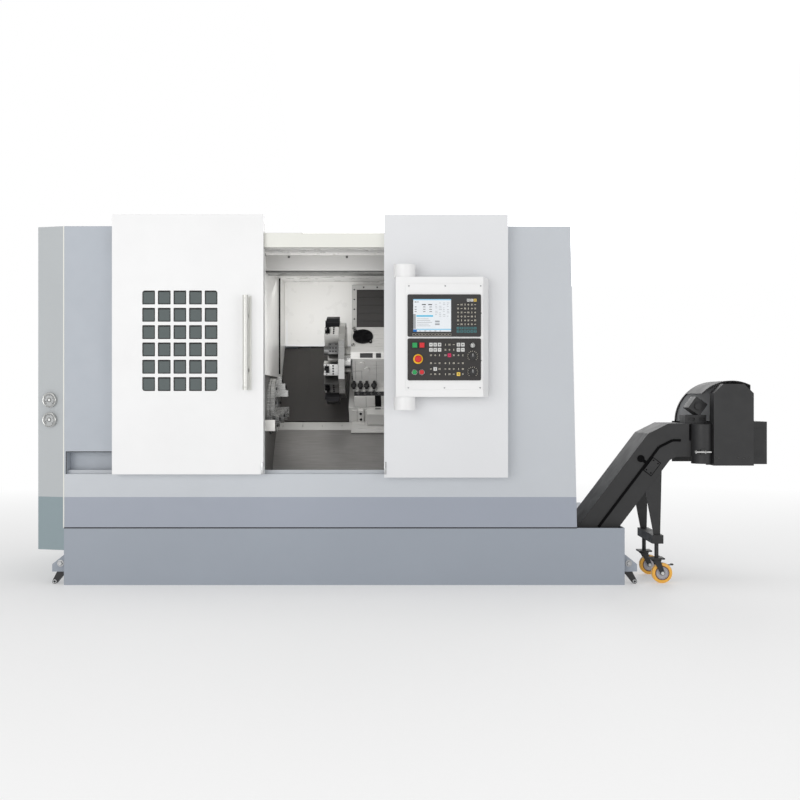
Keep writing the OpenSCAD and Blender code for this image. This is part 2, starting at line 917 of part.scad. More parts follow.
module front_sill_panel() {
    right_return = lean_x(body_h) - 2 * sheet;
    color(light_grey) place() {
        along_y([0, sheet]) polygon([[0, base_h], [end_x, base_h], [lean_x(body_h), body_h],
            [right_x, body_h], [right_x, sill_h], [0, sill_h]]);
        block([0, right_x + sheet], [0, pocket_d], [sill_h - sheet, sill_h]);
        block([0, end_x - 2 * sheet], [0, return_d], [base_h, base_h + sheet]);
        block([0, sheet], [0, return_d], [base_h, sill_h]);
        block([right_x, right_x + sheet], [0, return_d], [sill_h - sheet, body_h]);
        block([right_x, right_return], [0, return_d], [body_h - sheet, body_h]);
        block([pocket_margin + free_gap, fixed_x], [track_y, track_y + track_w],
            [sill_h - over, sill_h + track_h]);
    }
}

module left_end_cover() {
    color(light_grey) place() difference() {
        along_z([cover_z, body_h]) polygon([[0, 0], [-cover_w, cover_setback],
            [-cover_w, base_w - cover_setback], [0, base_w]]);
        along_z([cover_z + sheet, body_h - sheet])
            polygon([[over, sheet], [-cover_w + sheet, cover_setback + sheet],
                [-cover_w + sheet, base_w - cover_setback - sheet], [over, base_w - sheet]]);
        at_spindle() rod_x([-cover_w - over, -cover_w + sheet + over], feed_hole_d);
    }
}

module right_end_panel() {
    color(light_grey) place() along_y([sheet, base_w - sheet])
        polygon([[end_x - sheet, base_h], [end_x, base_h], [lean_x(body_h), body_h],
            [lean_x(body_h) - sheet, body_h]]);
}

module fixed_front_panel() {
    color(white_paint) place()
        pan([fixed_x, fixed_x + fixed_w], [panel_front, 0], [sill_h - fixed_lap, door_top]);
}

// Roof and rear wall, folded from one sheet
module roof_panel() {
    color(light_grey) place() {
        block([0, lean_x(roof_h) - sheet - free_gap], [return_d, base_w], [roof_h - sheet, roof_h]);
        along_y([base_w - sheet, base_w])
            polygon([[0, base_h], [end_x, base_h], [lean_x(roof_h), roof_h], [0, roof_h]]);
    }
}

module top_beam() {
    color(white_paint) place() difference() {
        block([door_x, fixed_x], [-beam_d, 0], [beam_low, beam_top]);
        block([door_x - over, fixed_x + over], [-beam_d + beam_wall, -beam_wall],
            [beam_low + beam_wall, beam_top - beam_wall]);
    }
}

module headstock_guard() {
    color(stainless) place() along_x([guard_x, guard_in]) difference() {
        polygon([[guard_front, guard_base], [guard_front, lintel_z], [guard_y, ceiling_z],
            [guard_y, guard_foot], guard_heel, slope_head, [slope_y, slope_z], [slope_y, guard_base]]);
        translate([spindle_y, spindle_z]) circle(guard_hole);
    }
}

module rear_guard() {
    color(stainless) place() along_x([guard_in, right_x - sheet])
        bent_sheet([[2 * sheet, lintel_z], [lamp_y, lintel_z], [lamp_y, lamp_z], [lamp_y + lamp_d, lamp_z],
            [lamp_y + lamp_d, lamp_z + lamp_rise], [guard_y, ceiling_z], [guard_y, guard_foot]]);
}

module lower_guard() {
    color(stainless) place() along_x([guard_in, slope_end])
        bent_sheet([slope_head, [slope_y, slope_z], [slope_y - 3 * sheet, guard_base]]);
}

// One plate of the telescopic way cover: level 0 is the innermost
module way_plate(level, x) {
    step = plate_t + plate_gap;
    u = [saddle_u + over + (2 - level) * step, saddle_end - over - (2 - level) * step];
    n = cover_n + level * step;
    on_slant() {
        block(x, u, [n, n + plate_t]);
        block(x, [u[0], u[0] + plate_t], [n - cover_lip, n + plate_t]);
        block(x, [u[1] - plate_t, u[1]], [n - cover_lip, n + plate_t]);
    }
}

module way_cover_fixed() {
    color(dark_steel) place() way_plate(0, [guard_in, guard_in + plate_l]);
}

module way_cover_middle() {
    x = (guard_in + saddle_x - plate_l) / 2;
    color(dark_steel) place() way_plate(1, [x, x + plate_l]);
}

module way_cover_outer() {
    color(dark_steel) place() way_plate(2, [saddle_x - plate_l, saddle_x]);
}

module spindle_motor() {
    foot_w = motor_d * 2 / 5;
    color(dark_steel) place() translate([0, motor_y, 0]) difference() {
        union() {
            translate([0, 0, motor_z]) rod_x([motor_x, motor_x + motor_l], motor_d);
            block([motor_x + motor_foot_inset, motor_x + motor_l - motor_foot_inset], [-foot_w, foot_w],
                [base_h, motor_z - motor_d / 4]);
            block([motor_x + motor_l / 3, motor_x + motor_l * 3 / 4], [-motor_d / 4, motor_d / 4],
                [motor_z + motor_d / 3, motor_z + motor_d * 2 / 3]);
        }
        translate([0, 0, motor_z]) rod_x([motor_x - over, motor_x + shaft_in], motor_shaft_d + 2 * run_gap);
    }
}

// Half section of a grooved pulley rim as [radius, x]
module pulley_half(d) {
    groove = pulley_w / (pulley_grooves + 0.5);
    difference() {
        translate([0, pulley_x]) square([d / 2, pulley_w]);
        for (i = [0 : pulley_grooves - 1])
            translate([d / 2, pulley_x + groove * (i + 0.75)])
                polygon([[over, -groove * 0.4], [over, groove * 0.4], [-groove_h, groove * 0.15],
                    [-groove_h, -groove * 0.15]]);
    }
}

module motor_pulley() {
    color(cast_grey) place() translate([0, motor_y, motor_z]) {
        turned_x() pulley_half(motor_pulley_d);
        rod_x([pulley_x + over, motor_x + shaft_in - over], motor_shaft_d);
    }
}

// Closed loop around both pulleys, grown by a margin
module belt_outline(margin) {
    hull() {
        translate([spindle_y, spindle_z]) circle(spindle_pulley_d / 2 + margin);
        translate([motor_y, motor_z]) circle(motor_pulley_d / 2 + margin);
    }
}

module drive_belt() {
    x = [pulley_x + belt_inset, pulley_x + pulley_w - belt_inset];
    color(black_plastic) place() along_x(x) difference() {
        belt_outline(free_gap + belt_t);
        belt_outline(free_gap);
    }
}

module spindle_shaft() {
    x0 = pulley_x - cylinder_l;
    color(bright_steel) place() at_spindle() difference() {
        turned_x() {
            translate([0, x0]) square([cylinder_d / 2, cylinder_l]);
            pulley_half(spindle_pulley_d);
            translate([0, x0]) square([spindle_d / 2, chuck_x - x0]);
            translate([0, chuck_x - flange_l]) square([flange_d / 2, flange_l]);
        }
        rod_x([x0 - over, chuck_x + over], spindle_bore);
    }
}

module chuck_body() {
    r = chuck_d / 2;
    color(bright_steel) place() at_spindle() difference() {
        turned_x() polygon([[spindle_bore / 2, chuck_x], [r - chuck_edge, chuck_x], [r, chuck_x + chuck_edge],
            [r, chuck_face - chuck_edge], [r - chuck_edge, chuck_face], [spindle_bore / 2, chuck_face]]);
        for (i = [0 : 2]) rotate([i * 120, 0, 0])
            block([chuck_face - slot_h, chuck_face + over], [-jaw_w / 2 - slide_gap, jaw_w / 2 + slide_gap],
                [0, r + over]);
    }
}

// Stepped hard jaw, drawn as [radius, x] from the bottom of its slot
module chuck_jaw(i) {
    bottom = chuck_face - slot_h + slide_gap;
    seat = chuck_face + free_gap;
    step = (jaw_reach - jaw_r) / 3;
    heel = jaw_reach - jaw_heel;
    low = chuck_face + jaw_l * 2 / 5;
    high = chuck_face + jaw_l * 3 / 4;
    front = chuck_face + jaw_l;
    color(bright_steel) place() at_spindle() rotate([i * 120, 0, 0])
        translate([0, jaw_w / 2, 0]) rotate([90, 0, 0]) linear_extrude(jaw_w)
            polygon([[bottom, jaw_r], [bottom, heel], [seat, heel], [seat, jaw_reach], [low, jaw_reach],
                [low, jaw_r + 2 * step], [high, jaw_r + 2 * step], [high, jaw_r + step],
                [front, jaw_r + step], [front, jaw_r]]);
}

module chuck_jaw_1() { chuck_jaw(0); }
module chuck_jaw_2() { chuck_jaw(1); }
module chuck_jaw_3() { chuck_jaw(2); }

module saddle() {
    x = [saddle_x, saddle_x + saddle_l];
    bearing_x = saddle_x + (saddle_l - bearing_w) / 2;
    color(stainless) place() difference() {
        union() {
            on_slant() {
                block(x, [saddle_u, saddle_end], [-way_n + slide_gap, saddle_n]);
                block(x, [saddle_u, way_lo - slide_gap], [-way_n - keeper_h, -way_n + over]);
                block(x, [way_hi + way_w + slide_gap, saddle_end], [-way_n - keeper_h, -way_n + over]);
                block([bearing_x, bearing_x + bearing_w], [saddle_u - bearing_d, saddle_u + over],
                    [saddle_n - bearing_h - bearing_drop, saddle_n - bearing_drop]);
            }
            block(x, [shield_y, shield_y + shield_t], [shield_foot[1] - 2 * shield_t, shield_top]);
        }
        on_slant() block([x[0] - over, x[1] + over],
            [way_lo + way_w + relief_inset, way_hi - relief_inset], [-way_n, -way_n + way_h]);
        block([x[0] + shield_rim, x[1] - shield_rim], [shield_y - over, shield_y + shield_t / 2],
            [shield_foot[1] + shield_rim, shield_top - shield_rim]);
    }
}

// Dark slat plate let into the saddle's shield
module x_way_cover() {
    slats = 5;
    z = [shield_foot[1] + shield_rim + slide_gap, shield_top - shield_rim - slide_gap];
    x = [saddle_x + shield_rim + slide_gap, saddle_x + saddle_l - shield_rim - slide_gap];
    slat_h = (z[1] - z[0]) / slats;
    back = shield_y + shield_t / 2;
    saw = [for (i = [slats - 1 : -1 : 0])
        each [[shield_y + shield_t / 3, z[0] + (i + 1) * slat_h], [shield_y + slat_set, z[0] + i * slat_h]]];
    color(dark_steel) place() along_x(x) polygon(concat([[back, z[0]], [back, z[1]]], saw));
}

module cross_slide() {
    x = [saddle_x + cross_inset, saddle_x + saddle_l - cross_inset];
    rail = 40;
    color(stainless) place() on_slant() difference() {
        block(x, [cross_u, cross_u + cross_w], [saddle_n + slide_gap, cross_n]);
        for (side = [x[0] - over, x[1] - rail])
            block([side, side + rail + over], [cross_u - over, cross_u + cross_w + over],
                [saddle_n + cross_t / 3, saddle_n + cross_t / 2]);
    }
}

module turret_housing() {
    x = [housing_x, housing_x + housing_l];
    color(stainless) place() on_slant() difference() {
        union() {
            along_x(x) polygon([[housing_u, cross_n], [housing_u2, cross_n],
                [housing_u2, housing_n - housing_cut], [housing_u2 - housing_cut, housing_n],
                [housing_u + nose_cut, housing_n], [housing_u, housing_n - nose_cut]]);
            translate([x[0] + cap_at[0], housing_u + cap_at[1], 0])
                rod_z([housing_n - over, housing_n + cap_h], cap_d);
            for (spot = boss_spots) translate([x[0] + spot[0], 0, spot[1]])
                rod_y([housing_u - boss_h, housing_u + over], boss_d);
        }
        translate([x[0], housing_u + nose_cut / 2, housing_n - nose_cut / 2]) rotate([-45, 0, 0])
            for (span = recesses) block(span, [-over, recess_d], [-recess_h / 2, recess_h / 2]);
        translate([0, turret_u, 0])
            rod_x([x[0] - over, x[0] + turret_shaft_l + over], turret_shaft_d + 2 * run_gap);
    }
}

module turret_disc() {
    color(bright_steel) place() at_turret() {
        translate([disc_x, 0, 0]) rotate([0, 90, 0]) rotate([0, 0, pitch / 2])
            cylinder(h = turret_t, r = turret_d / 2 / cos(pitch / 2), $fn = stations);
        rod_x([disc_x + over, housing_x - free_gap], hub_d);
        rod_x([disc_x + over, housing_x + turret_shaft_l], turret_shaft_d);
    }
}

// Holder for a square turning tool, clamped on the face of the disc
module turning_holder() {
    x = [disc_x - holder_l, disc_x];
    half = holder_w / 2;
    tool = [x[0] + tool_inset[0], tool_inset[1] - half];
    along_x(x) polygon([[-half, holder_in], [half, holder_in], [half, holder_r - holder_cut[1]],
        [half - holder_cut[0], holder_r], [-half, holder_r]]);
    block([tool[0], tool[0] + tool_s], [tool[1], tool[1] + tool_s], [holder_r - over, tool_r]);
}

// Holder with a round socket for a boring bar or drill
module boring_holder() {
    x = [disc_x - holder_l, disc_x];
    mid = (holder_in + holder_r) / 2;
    difference() {
        union() {
            along_x([x[0] + holder_l / 3, x[1]]) translate([0, mid])
                square([holder_w, holder_r - holder_in], center = true);
            translate([0, 0, mid]) rod_x([x[0], x[1] - over], holder_w * 7 / 8);
        }
        translate([0, 0, mid]) rod_x([x[0] - over, x[1] - holder_l / 4], holder_w / 2);
    }
}

module tool_holders() {
    color(dark_steel) place() at_turret() for (k = [0 : stations - 1]) rotate([k * pitch, 0, 0]) {
        if (k % 3 == 1) boring_holder();
        else turning_holder();
    }
}

module tailstock() {
    x = [tail_x, tail_x + tail_l];
    neck = barrel_d * 2 / 5;
    waist = -way_n * 3 / 4;
    color(cast_grey) place() on_slant() difference() {
        union() {
            along_x(x) polygon([[-tail_u, -way_n + slide_gap], [tail_w - tail_u, -way_n + slide_gap],
                [tail_w - tail_u, waist], [neck, 0], [-neck, 0], [-tail_u, waist]]);
            rod_x(x, barrel_d);
        }
        rod_x([x[0] - over, x[1] + over], quill_d + 2 * run_gap);
    }
}

module tailstock_quill() {
    front = tail_x - quill_out;
    tip = front - point_l;
    back = tail_x + tail_l - quill_back;
    r = quill_d / 2;
    color(bright_steel) place() at_spindle() turned_x()
        polygon([[0, tip], [r / 2, tip + point_l / 2], [r / 2, front], [r - quill_edge, front],
            [r, front + quill_edge], [r, back], [0, back]]);
}

module pressure_gauges() {
    lean = atan(cover_setback / cover_w);
    x = -cover_w / 2;
    color(bright_steel) place() for (z = [gauge_z, gauge_z - gauge_pitch])
        translate([x, -x * cover_setback / cover_w, z]) rotate([0, 0, -lean]) difference() {
            rod_y([-gauge_depth, -seat_gap], gauge_d);
            rod_y([-gauge_depth - over, -gauge_depth + gauge_recess], gauge_d - 2 * gauge_rim);
        }
}

module door_panel() {
    x = [door_x, door_x + door_w];
    slot_z = [beam_low - beam_clear, beam_top + beam_clear];
    roller_z = beam_top + free_gap + roller_d / 2;
    hanger_z = [min(slot_z[1], door_top - hanger_grip), max(roller_z, door_top - sheet + over)];
    color(white_paint) place() {
        difference() {
            pan(x, [panel_front, -door_gap], [door_z, door_top]);
            along_y([panel_front - over, panel_front + sheet + over])
                translate([door_x + window_x, window_z]) intersection() {
                    round_rect(window_w, window_h, window_r);
                    for (c = [0 : cell_cols - 1], r = [0 : cell_rows - 1])
                        translate([(cell_w - window_w) / 2 + c * (cell_w + bar_w),
                            (cell_h - window_h) / 2 + r * (cell_h + bar_h)])
                            round_rect(cell_w, cell_h, cell_r);
                }
            block([x[0] - over, x[1] + over], [-beam_d - beam_clear, 0], slot_z);
        }
        for (hx = [x[0] + hanger_inset, x[1] - hanger_inset]) {
            block([hx - hanger_w / 2, hx + hanger_w / 2],
                [panel_front + sheet - over, -beam_d - beam_clear / 2], hanger_z);
            translate([hx, 0, roller_z]) rod_y([-beam_d - beam_clear, -beam_d / 3], roller_d);
        }
    }
}

module door_window() {
    w = window_w / 2 + glass_lap;
    h = window_h / 2 + glass_lap;
    x = door_x + window_x;
    y = panel_front + sheet;
    color([0.45, 0.52, 0.50]) place()
        block([x - w, x + w], [y, y + glass_t], [window_z - h, window_z + h]);
}

module door_handle() {
    color(bright_steel) place() translate([door_x + door_w - handle_inset, panel_front, handle_z]) {
        translate([0, -handle_off, 0]) rod_z([-handle_l / 2, handle_l / 2], handle_d);
        for (z = [-handle_posts / 2, handle_posts / 2]) translate([0, 0, z]) rod_y([-handle_off, 0], post_d);
    }
}

module pendant_brackets() {
    top = pendant_z + pendant_h;
    color(white_paint) place() for (low = [pendant_z - free_gap - knuckle_h, top + free_gap]) {
        translate([pivot[0], pivot[1], 0]) rod_z([low, low + knuckle_h], knuckle_d);
        block([pivot[0] - arm_w / 2, pivot[0] + arm_w / 2], [pivot[1], panel_front], [low, low + knuckle_h]);
    }
    color(bright_steel) place() translate([pivot[0], pivot[1], 0]) {
        rod_z([top - pivot_pin_l, top + over], pivot_pin_d);
        rod_z([pendant_z - over, pendant_z + pivot_pin_l], pivot_pin_d);
    }
}

module pendant_housing() {
    x = [pendant_x, pendant_x + pendant_w];
    z = [pendant_z, pendant_z + pendant_h];
    bore = pivot_pin_d + 2 * run_gap;
    color(white_paint) place() difference() {
        union() {
            along_z(z) polygon([[x[0], pendant_back], [x[1], pendant_back],
                [x[1] - pendant_bevel, pendant_front], [x[0], pendant_front]]);
            block([face_x, face_x + face_w], [face_front, pendant_front + over],
                [pendant_z + face_bottom, pendant_z + face_bottom + face_h]);
        }
        translate([pivot[0], pivot[1], 0]) {
            rod_z([z[0] - over, z[0] + pivot_pin_l + over], bore);
            rod_z([z[1] - pivot_pin_l - over, z[1] + over], bore);
        }
    }
}

// Plate of an operator unit on the faceplate, with round corners
module unit_plate(z, h) {
    along_y([unit_front, face_front])
        translate([unit_x + unit_w / 2, z + h / 2]) round_rect(unit_w, h, unit_r);
}

module display_unit() {
    color(black_plastic) place() difference() {
        unit_plate(display_z, display_h);
        block([screen_x, screen_x + screen_w], [unit_front - over, face_front + over],
            [screen_z, screen_z + screen_h]);
    }
}

module display_screen() {
    color([0.65, 0.75, 0.85]) place()
        block([screen_x + slide_gap, screen_x + screen_w - slide_gap], [unit_front + screen_set, face_front],
            [screen_z + slide_gap, screen_z + screen_h - slide_gap]);
}

// Children placed at a control's spot on the front of the control panel
module at_control(spot) {
    translate([unit_x + spot[0], unit_front, control_z + control_h - spot[1]]) children();
}

module control_panel() {
    color(black_plastic) place() difference() {
        unit_plate(control_z, control_h);
        for (spot = [power_on_at, power_off_at, stop_at, start_at, hold_at, key_at, knob_at, feed_at])
            at_control(spot) rod_y([-over, face_t + over], stem_d + 2 * run_gap);
    }
}

// Stem of a control in its hole; it ends short of the bottom by the travel
module control_stem(travel) {
    rod_y([-travel - over, face_t - travel - free_gap], stem_d);
}

module emergency_stop() {
    color([0.80, 0.10, 0.10]) place() at_control(stop_at) {
        control_stem(button_travel);
        translate([0, -press_gap, 0]) rotate([90, 0, 0]) rotate_extrude()
            polygon([[0, 0], [stop_d * 0.32, 0], [stop_d * 0.32, stop_h * 0.4], [stop_d / 2, stop_h * 0.5],
                [stop_d / 2, stop_h * 0.8], [stop_d * 0.42, stop_h], [0, stop_h]]);
    }
}

module square_push(spot) {
    place() at_control(spot) {
        control_stem(button_travel);
        translate([0, -press_gap - head_t / 2, 0])
            cube([square_button, head_t, square_button], center = true);
    }
}

module round_push(spot) {
    place() at_control(spot) {
        control_stem(button_travel);
        rod_y([-press_gap - head_t, -press_gap], round_button_d);
    }
}

module power_on_button() { color([0.15, 0.60, 0.30]) square_push(power_on_at); }
module power_off_button() { color([0.80, 0.15, 0.15]) square_push(power_off_at); }
module cycle_start_button() { color([0.15, 0.60, 0.30]) round_push(start_at); }
module feed_hold_button() { color([0.80, 0.15, 0.15]) round_push(hold_at); }

module key_switch() {
    color(bright_steel) place() at_control(key_at) {
        control_stem(0);
        rod_y([-head_t, -free_gap], key_d);
        block([-key_d / 10, key_d / 10], [-head_t - key_d, -head_t + over], [-key_d / 2, key_d / 2]);
    }
}

module override_knob(spot) {
    color(dark_steel) place() at_control(spot) {
        control_stem(0);
        rod_y([-free_gap - knob_h / 2, -free_gap], knob_d);
        rod_y([-knob_h, -knob_h / 2], knob_d * 2 / 3);
    }
}

module spindle_override_knob() { override_knob(knob_at); }
module feed_override_knob() { override_knob(feed_at); }

// Two side plates, with the floor sheet and the cover sheet seated between them
module conveyor_trough() {
    half = casing_h / 2;
    skin = half - casing_t;
    mouth_x = [casing_x + mouth_inset, bend_x - skin * tan(rise / 2)];
    color(black_paint) place() {
        along_y([casing_rows[0] + casing_t + free_gap, casing_rows[1] - casing_t - free_gap]) difference() {
            polygon(casing_outline(half, casing_x, delivery_x));
            polygon(casing_outline(skin, casing_x + casing_t, delivery_x + over));
            translate([mouth_x[0], level_z]) square([mouth_x[1] - mouth_x[0], half + over]);
        }
        for (y = [casing_rows[0], casing_rows[1] - casing_t])
            along_y([y, y + casing_t]) polygon(casing_outline(half, casing_x, delivery_x));
        for (y = [casing_rows[0] - rib_t, casing_rows[1]])
            along_y([y, y + rib_t]) intersection() {
                difference() {
                    polygon(casing_outline(rib_t, casing_x, bend2_x + half));
                    polygon(casing_outline(rib_slot / 2, casing_x - over, bend2_x + half + over));
                }
                translate([bend_x + half_run, base_h]) square([delivery_x, delivery_z]);
            }
    }
}

// Flat case over the drive chain, bolted to the near side of the head
module chain_guard() {
    x = [delivery_x + chain_past, delivery_x + chain_past + chain_w];
    z = [drop_z, drum_z + chain_up];
    along_y([head_y[0] - chain_d, head_y[0] + over])
        polygon([[x[0], z[0]], [x[1], z[0]], [x[1], z[1] - chain_cut], [x[1] - chain_cut, z[1]],
            [x[0] + chain_cut, z[1]], [x[0], z[1] - chain_cut]]);
}

// Half-round housing of the belt's take-up bearing, beside the chain guard
module take_up() {
    right = delivery_x + take_up_past;
    back = head_y[0] + casing_t - free_gap;
    along_z([drop_z + take_up_z, drop_z + take_up_z + take_up_h]) intersection() {
        translate([right - take_up_w / 2, back]) circle(take_up_w / 2);
        translate([right - take_up_w, back - take_up_w]) square(take_up_w);
    }
}

// Curved cover sheet between two depths, down to a height above the drum axis
module drum_cover(y, up) {
    along_y(y) intersection() {
        translate([drum_x, drum_z]) difference() {
            circle(drum_r);
            circle(drum_r - casing_t);
        }
        translate([drum_x - drum_r - over, drum_z + up]) square([drum_r + head_right + over, drum_r]);
    }
}

module conveyor_head() {
    left = delivery_x - head_lap;
    color(black_paint) place() {
        along_y([head_y[1] - casing_t, head_y[1]]) {
            intersection() {
                translate([drum_x, drum_z]) circle(drum_r);
                translate([drum_x - drum_r, drum_z]) square([drum_r + head_right, drum_r]);
            }
            polygon([[left, drop_z], [head_x1, drop_z], [head_x1, drum_z + over], [left, drum_z + over]]);
        }
        along_y([head_y[0], head_y[0] + casing_t])
            polygon([[delivery_x, drop_z], [head_x1, drop_z], [head_x1, drum_z], [delivery_x, drum_z]]);
        drum_cover(head_y, cover_up);
        drum_cover([head_y[1] - rim_d, head_y[1]], drum_up);
        block([head_x1 - casing_t, head_x1], head_y, [drop_z, drum_z + sqrt(drum_r ^ 2 - head_right ^ 2)]);
        block([head_x1 - over, head_x1 + drive_l], [head_y[1] - drive_d, head_y[1]],
            [drop_z, drop_z + drive_h]);
        chain_guard();
        take_up();
    }
}

// Square gear unit on its slotted base, seen in the open side of the head
module gear_reducer() {
    half = reducer_side / 2;
    x = delivery_x - reducer_back;
    y = [casing_y + reducer_y, casing_y + reducer_y + reducer_d];
    color(dark_steel) place() {
        difference() {
            block([x + reducer_base[0], x + reducer_base[1]], y, [delivery_z, delivery_z + reducer_base_h]);
            for (side = reducer_base)
                along_y([y[0] - over, y[0] + slot_d])
                    translate([x + side / 2, delivery_z + reducer_base_h / 2])
                        round_rect(slot_w, reducer_base_h / 3, reducer_base_h / 8);
        }
        translate([x, 0, delivery_z + reducer_base_h + half + reducer_up]) {
            rotate([0, reducer_turn, 0]) along_y(y) round_rect(reducer_side, reducer_side, half / 8);
            rod_y([y[0] - reducer_hub, y[0] + over], half);
        }
    }
}

module conveyor_stand() {
    left = stand_cx + leg_top[0];
    right = stand_cx + leg_top[1];
    beam_z = [stand_z - stand_beam, stand_z];
    color(black_paint) place() difference() {
        union() {
            for (y = [casing_rows[0], casing_rows[1] - leg_t])
                along_y([y, y + leg_t])
                    polygon([[left, run_z(left) - free_gap], [right, run_z(right) - free_gap],
                        [stand_cx + leg_foot[1], stand_z - over], [stand_cx + leg_foot[0], stand_z - over]]);
            block([stand_cx - stand_beam_w / 2, stand_cx + stand_beam_w / 2],
                [casing_rows[0] - beam_past, casing_rows[1] + beam_past], beam_z);
            for (y = castor_rows) translate([stand_cx, y, 0]) {
                rod_z([castor_top, beam_z[0] + over], stem_rod_d);
                block([-castor_side, castor_side], [-castor_side, castor_side],
                    [castor_top, castor_top + castor_plate]);
            }
        }
        for (y = castor_rows) translate([stand_cx, y, 0])
            rod_z([castor_top - over, castor_top + castor_plate], swivel_d + 2 * run_gap);
    }
}

module castor_fork(y) {
    half = wheel_w / 2 + fork_gap;
    crown_z = castor_top - free_gap - crown_h;
    axle = [castor_trail, wheel_d / 2];
    end = half + fork_t + axle_end;
    color(black_paint) place() translate([stand_cx, y, 0]) {
        rod_z([crown_z + over, castor_top + castor_plate - free_gap], swivel_d);
        rod_z([crown_z, crown_z + crown_h], 2 * (half + fork_t + crown_rim));
        for (side = [-half - fork_t, half]) along_y([side, side + fork_t]) {
            polygon([[-half, crown_z + over], [half, crown_z + over], [axle[0] + castor_axle_d, axle[1]],
                [axle[0] - castor_axle_d, axle[1]]]);
            translate(axle) circle(castor_axle_d);
        }
        translate([axle[0], 0, axle[1]]) rod_y([-end, end], castor_axle_d);
    }
}

module castor_wheel(y) {
    r = wheel_d / 2;
    half = wheel_w / 2;
    end = half + hub_past;
    bore = castor_axle_d / 2 + run_gap;
    hub = bore + hub_rim;
    web = r * 5 / 8;
    tyre = r * 2 / 3;
    edge = tyre_edge;
    near = [[bore, end], [hub, end], [hub, half / 2], [web, half / 2], [tyre, half], [r - edge, half],
        [r, half - edge]];
    far = [for (i = [len(near) - 1 : -1 : 0]) [near[i][0], -near[i][1]]];
    color([0.85, 0.62, 0.15]) place() translate([stand_cx + castor_trail, y, r])
        rotate([90, 0, 0]) rotate_extrude() polygon(concat(near, far));
}

module castor_fork_front() { castor_fork(castor_rows[0]); }
module castor_fork_rear() { castor_fork(castor_rows[1]); }
module castor_wheel_front() { castor_wheel(castor_rows[0]); }
module castor_wheel_rear() { castor_wheel(castor_rows[1]); }

module electrical_cabinet() {
    x = [cabinet_x, cabinet_x + cabinet_w];
    z = [cabinet_z, cabinet_z + cabinet_h];
    color(light_grey) place() {
        difference() {
            block(x, [base_w, cabinet_y], z);
            block([x[0] + sheet, x[1] - sheet], [base_w + sheet, cabinet_y + over],
                [z[0] + sheet, z[1] - sheet]);
        }
        for (low = hinge_rows) {
            translate([hinge_at[0], hinge_at[1], 0]) {
                rod_z([low, low + hinge_h], hinge_d);
                rod_z([low + over, low + 2 * hinge_h], hinge_pin_d);
            }
            block([hinge_at[0], cabinet_x + sheet], [cabinet_y - 2 * hinge_d, cabinet_y],
                [low, low + hinge_h]);
            block([hinge_at[0] - hinge_d / 4, hinge_at[0] + hinge_d / 4], [cabinet_y - hinge_d, hinge_at[1]],
                [low, low + hinge_h]);
        }
    }
}

module cabinet_door() {
    y = [cabinet_y + cabinet_gap, cabinet_y + cabinet_gap + cabinet_door_t];
    color(light_grey) place() {
        difference() {
            block([cabinet_x, cabinet_x + cabinet_w], y, [cabinet_z, cabinet_z + cabinet_h]);
            block([cabinet_x + sheet, cabinet_x + cabinet_w - sheet], [y[0] - over, y[1] - sheet],
                [cabinet_z + sheet, cabinet_z + cabinet_h - sheet]);
        }
        for (low = hinge_rows) {
            z = [low + hinge_h + free_gap, low + 2 * hinge_h];
            difference() {
                union() {
                    translate([hinge_at[0], hinge_at[1], 0]) rod_z(z, hinge_d);
                    block([hinge_at[0], cabinet_x + over],
                        [hinge_at[1] - hinge_leaf / 2, hinge_at[1] + hinge_leaf / 2], z);
                }
                translate([hinge_at[0], hinge_at[1], 0])
                    rod_z([z[0] - over, z[1] + over], hinge_pin_d + 2 * run_gap);
            }
        }
        translate([cabinet_x + cabinet_w - latch_inset, y[1], cabinet_z + cabinet_h / 2])
            rod_y([-over, latch_h], latch_d);
    }
}

base_tray();
levelling_feet();
slant_bed();
headstock();
front_left_panel();
front_sill_panel();
left_end_cover();
right_end_panel();
fixed_front_panel();
roof_panel();
top_beam();
headstock_guard();
rear_guard();
lower_guard();
way_cover_fixed();
spindle_motor();
drive_belt();
electrical_cabinet();
conveyor_trough();
conveyor_head();
gear_reducer();
conveyor_stand();
pendant_brackets();
pressure_gauges();
door_panel();
door_window();
door_handle();
pendant_housing();
display_unit();
display_screen();
control_panel();
emergency_stop();
power_on_button();
power_off_button();
cycle_start_button();
feed_hold_button();
key_switch();
spindle_override_knob();
feed_override_knob();
spindle_shaft();
chuck_body();
chuck_jaw_1();
chuck_jaw_2();
chuck_jaw_3();
motor_pulley();
saddle();
x_way_cover();
way_cover_middle();
way_cover_outer();
cross_slide();
turret_housing();
turret_disc();
tool_holders();
tailstock();
tailstock_quill();
castor_fork_front();
castor_wheel_front();
castor_fork_rear();
castor_wheel_rear();
cabinet_door();
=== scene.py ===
"""Finishes, trim and studio for a slant-bed turning lathe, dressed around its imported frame."""

import math

import bmesh
import bpy
from mathutils import Matrix, Vector


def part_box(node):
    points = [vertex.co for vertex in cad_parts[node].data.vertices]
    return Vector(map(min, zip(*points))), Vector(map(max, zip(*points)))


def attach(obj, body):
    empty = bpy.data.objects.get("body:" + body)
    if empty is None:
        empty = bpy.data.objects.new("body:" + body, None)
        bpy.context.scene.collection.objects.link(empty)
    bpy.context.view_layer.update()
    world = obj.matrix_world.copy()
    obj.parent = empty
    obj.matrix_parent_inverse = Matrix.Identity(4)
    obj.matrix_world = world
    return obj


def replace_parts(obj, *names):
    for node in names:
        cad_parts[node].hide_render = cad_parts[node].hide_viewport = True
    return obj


bl_info = {
    "name": "Turning Lathe Dressing",
    "version": (1, 0, 0),
    "blender": (4, 5, 0),
    "location": "3D View > Sidebar > Lathe",
    "description": "Finishes and trim of a slant-bed turning lathe, and the studio around it",
    "category": "Object",
}

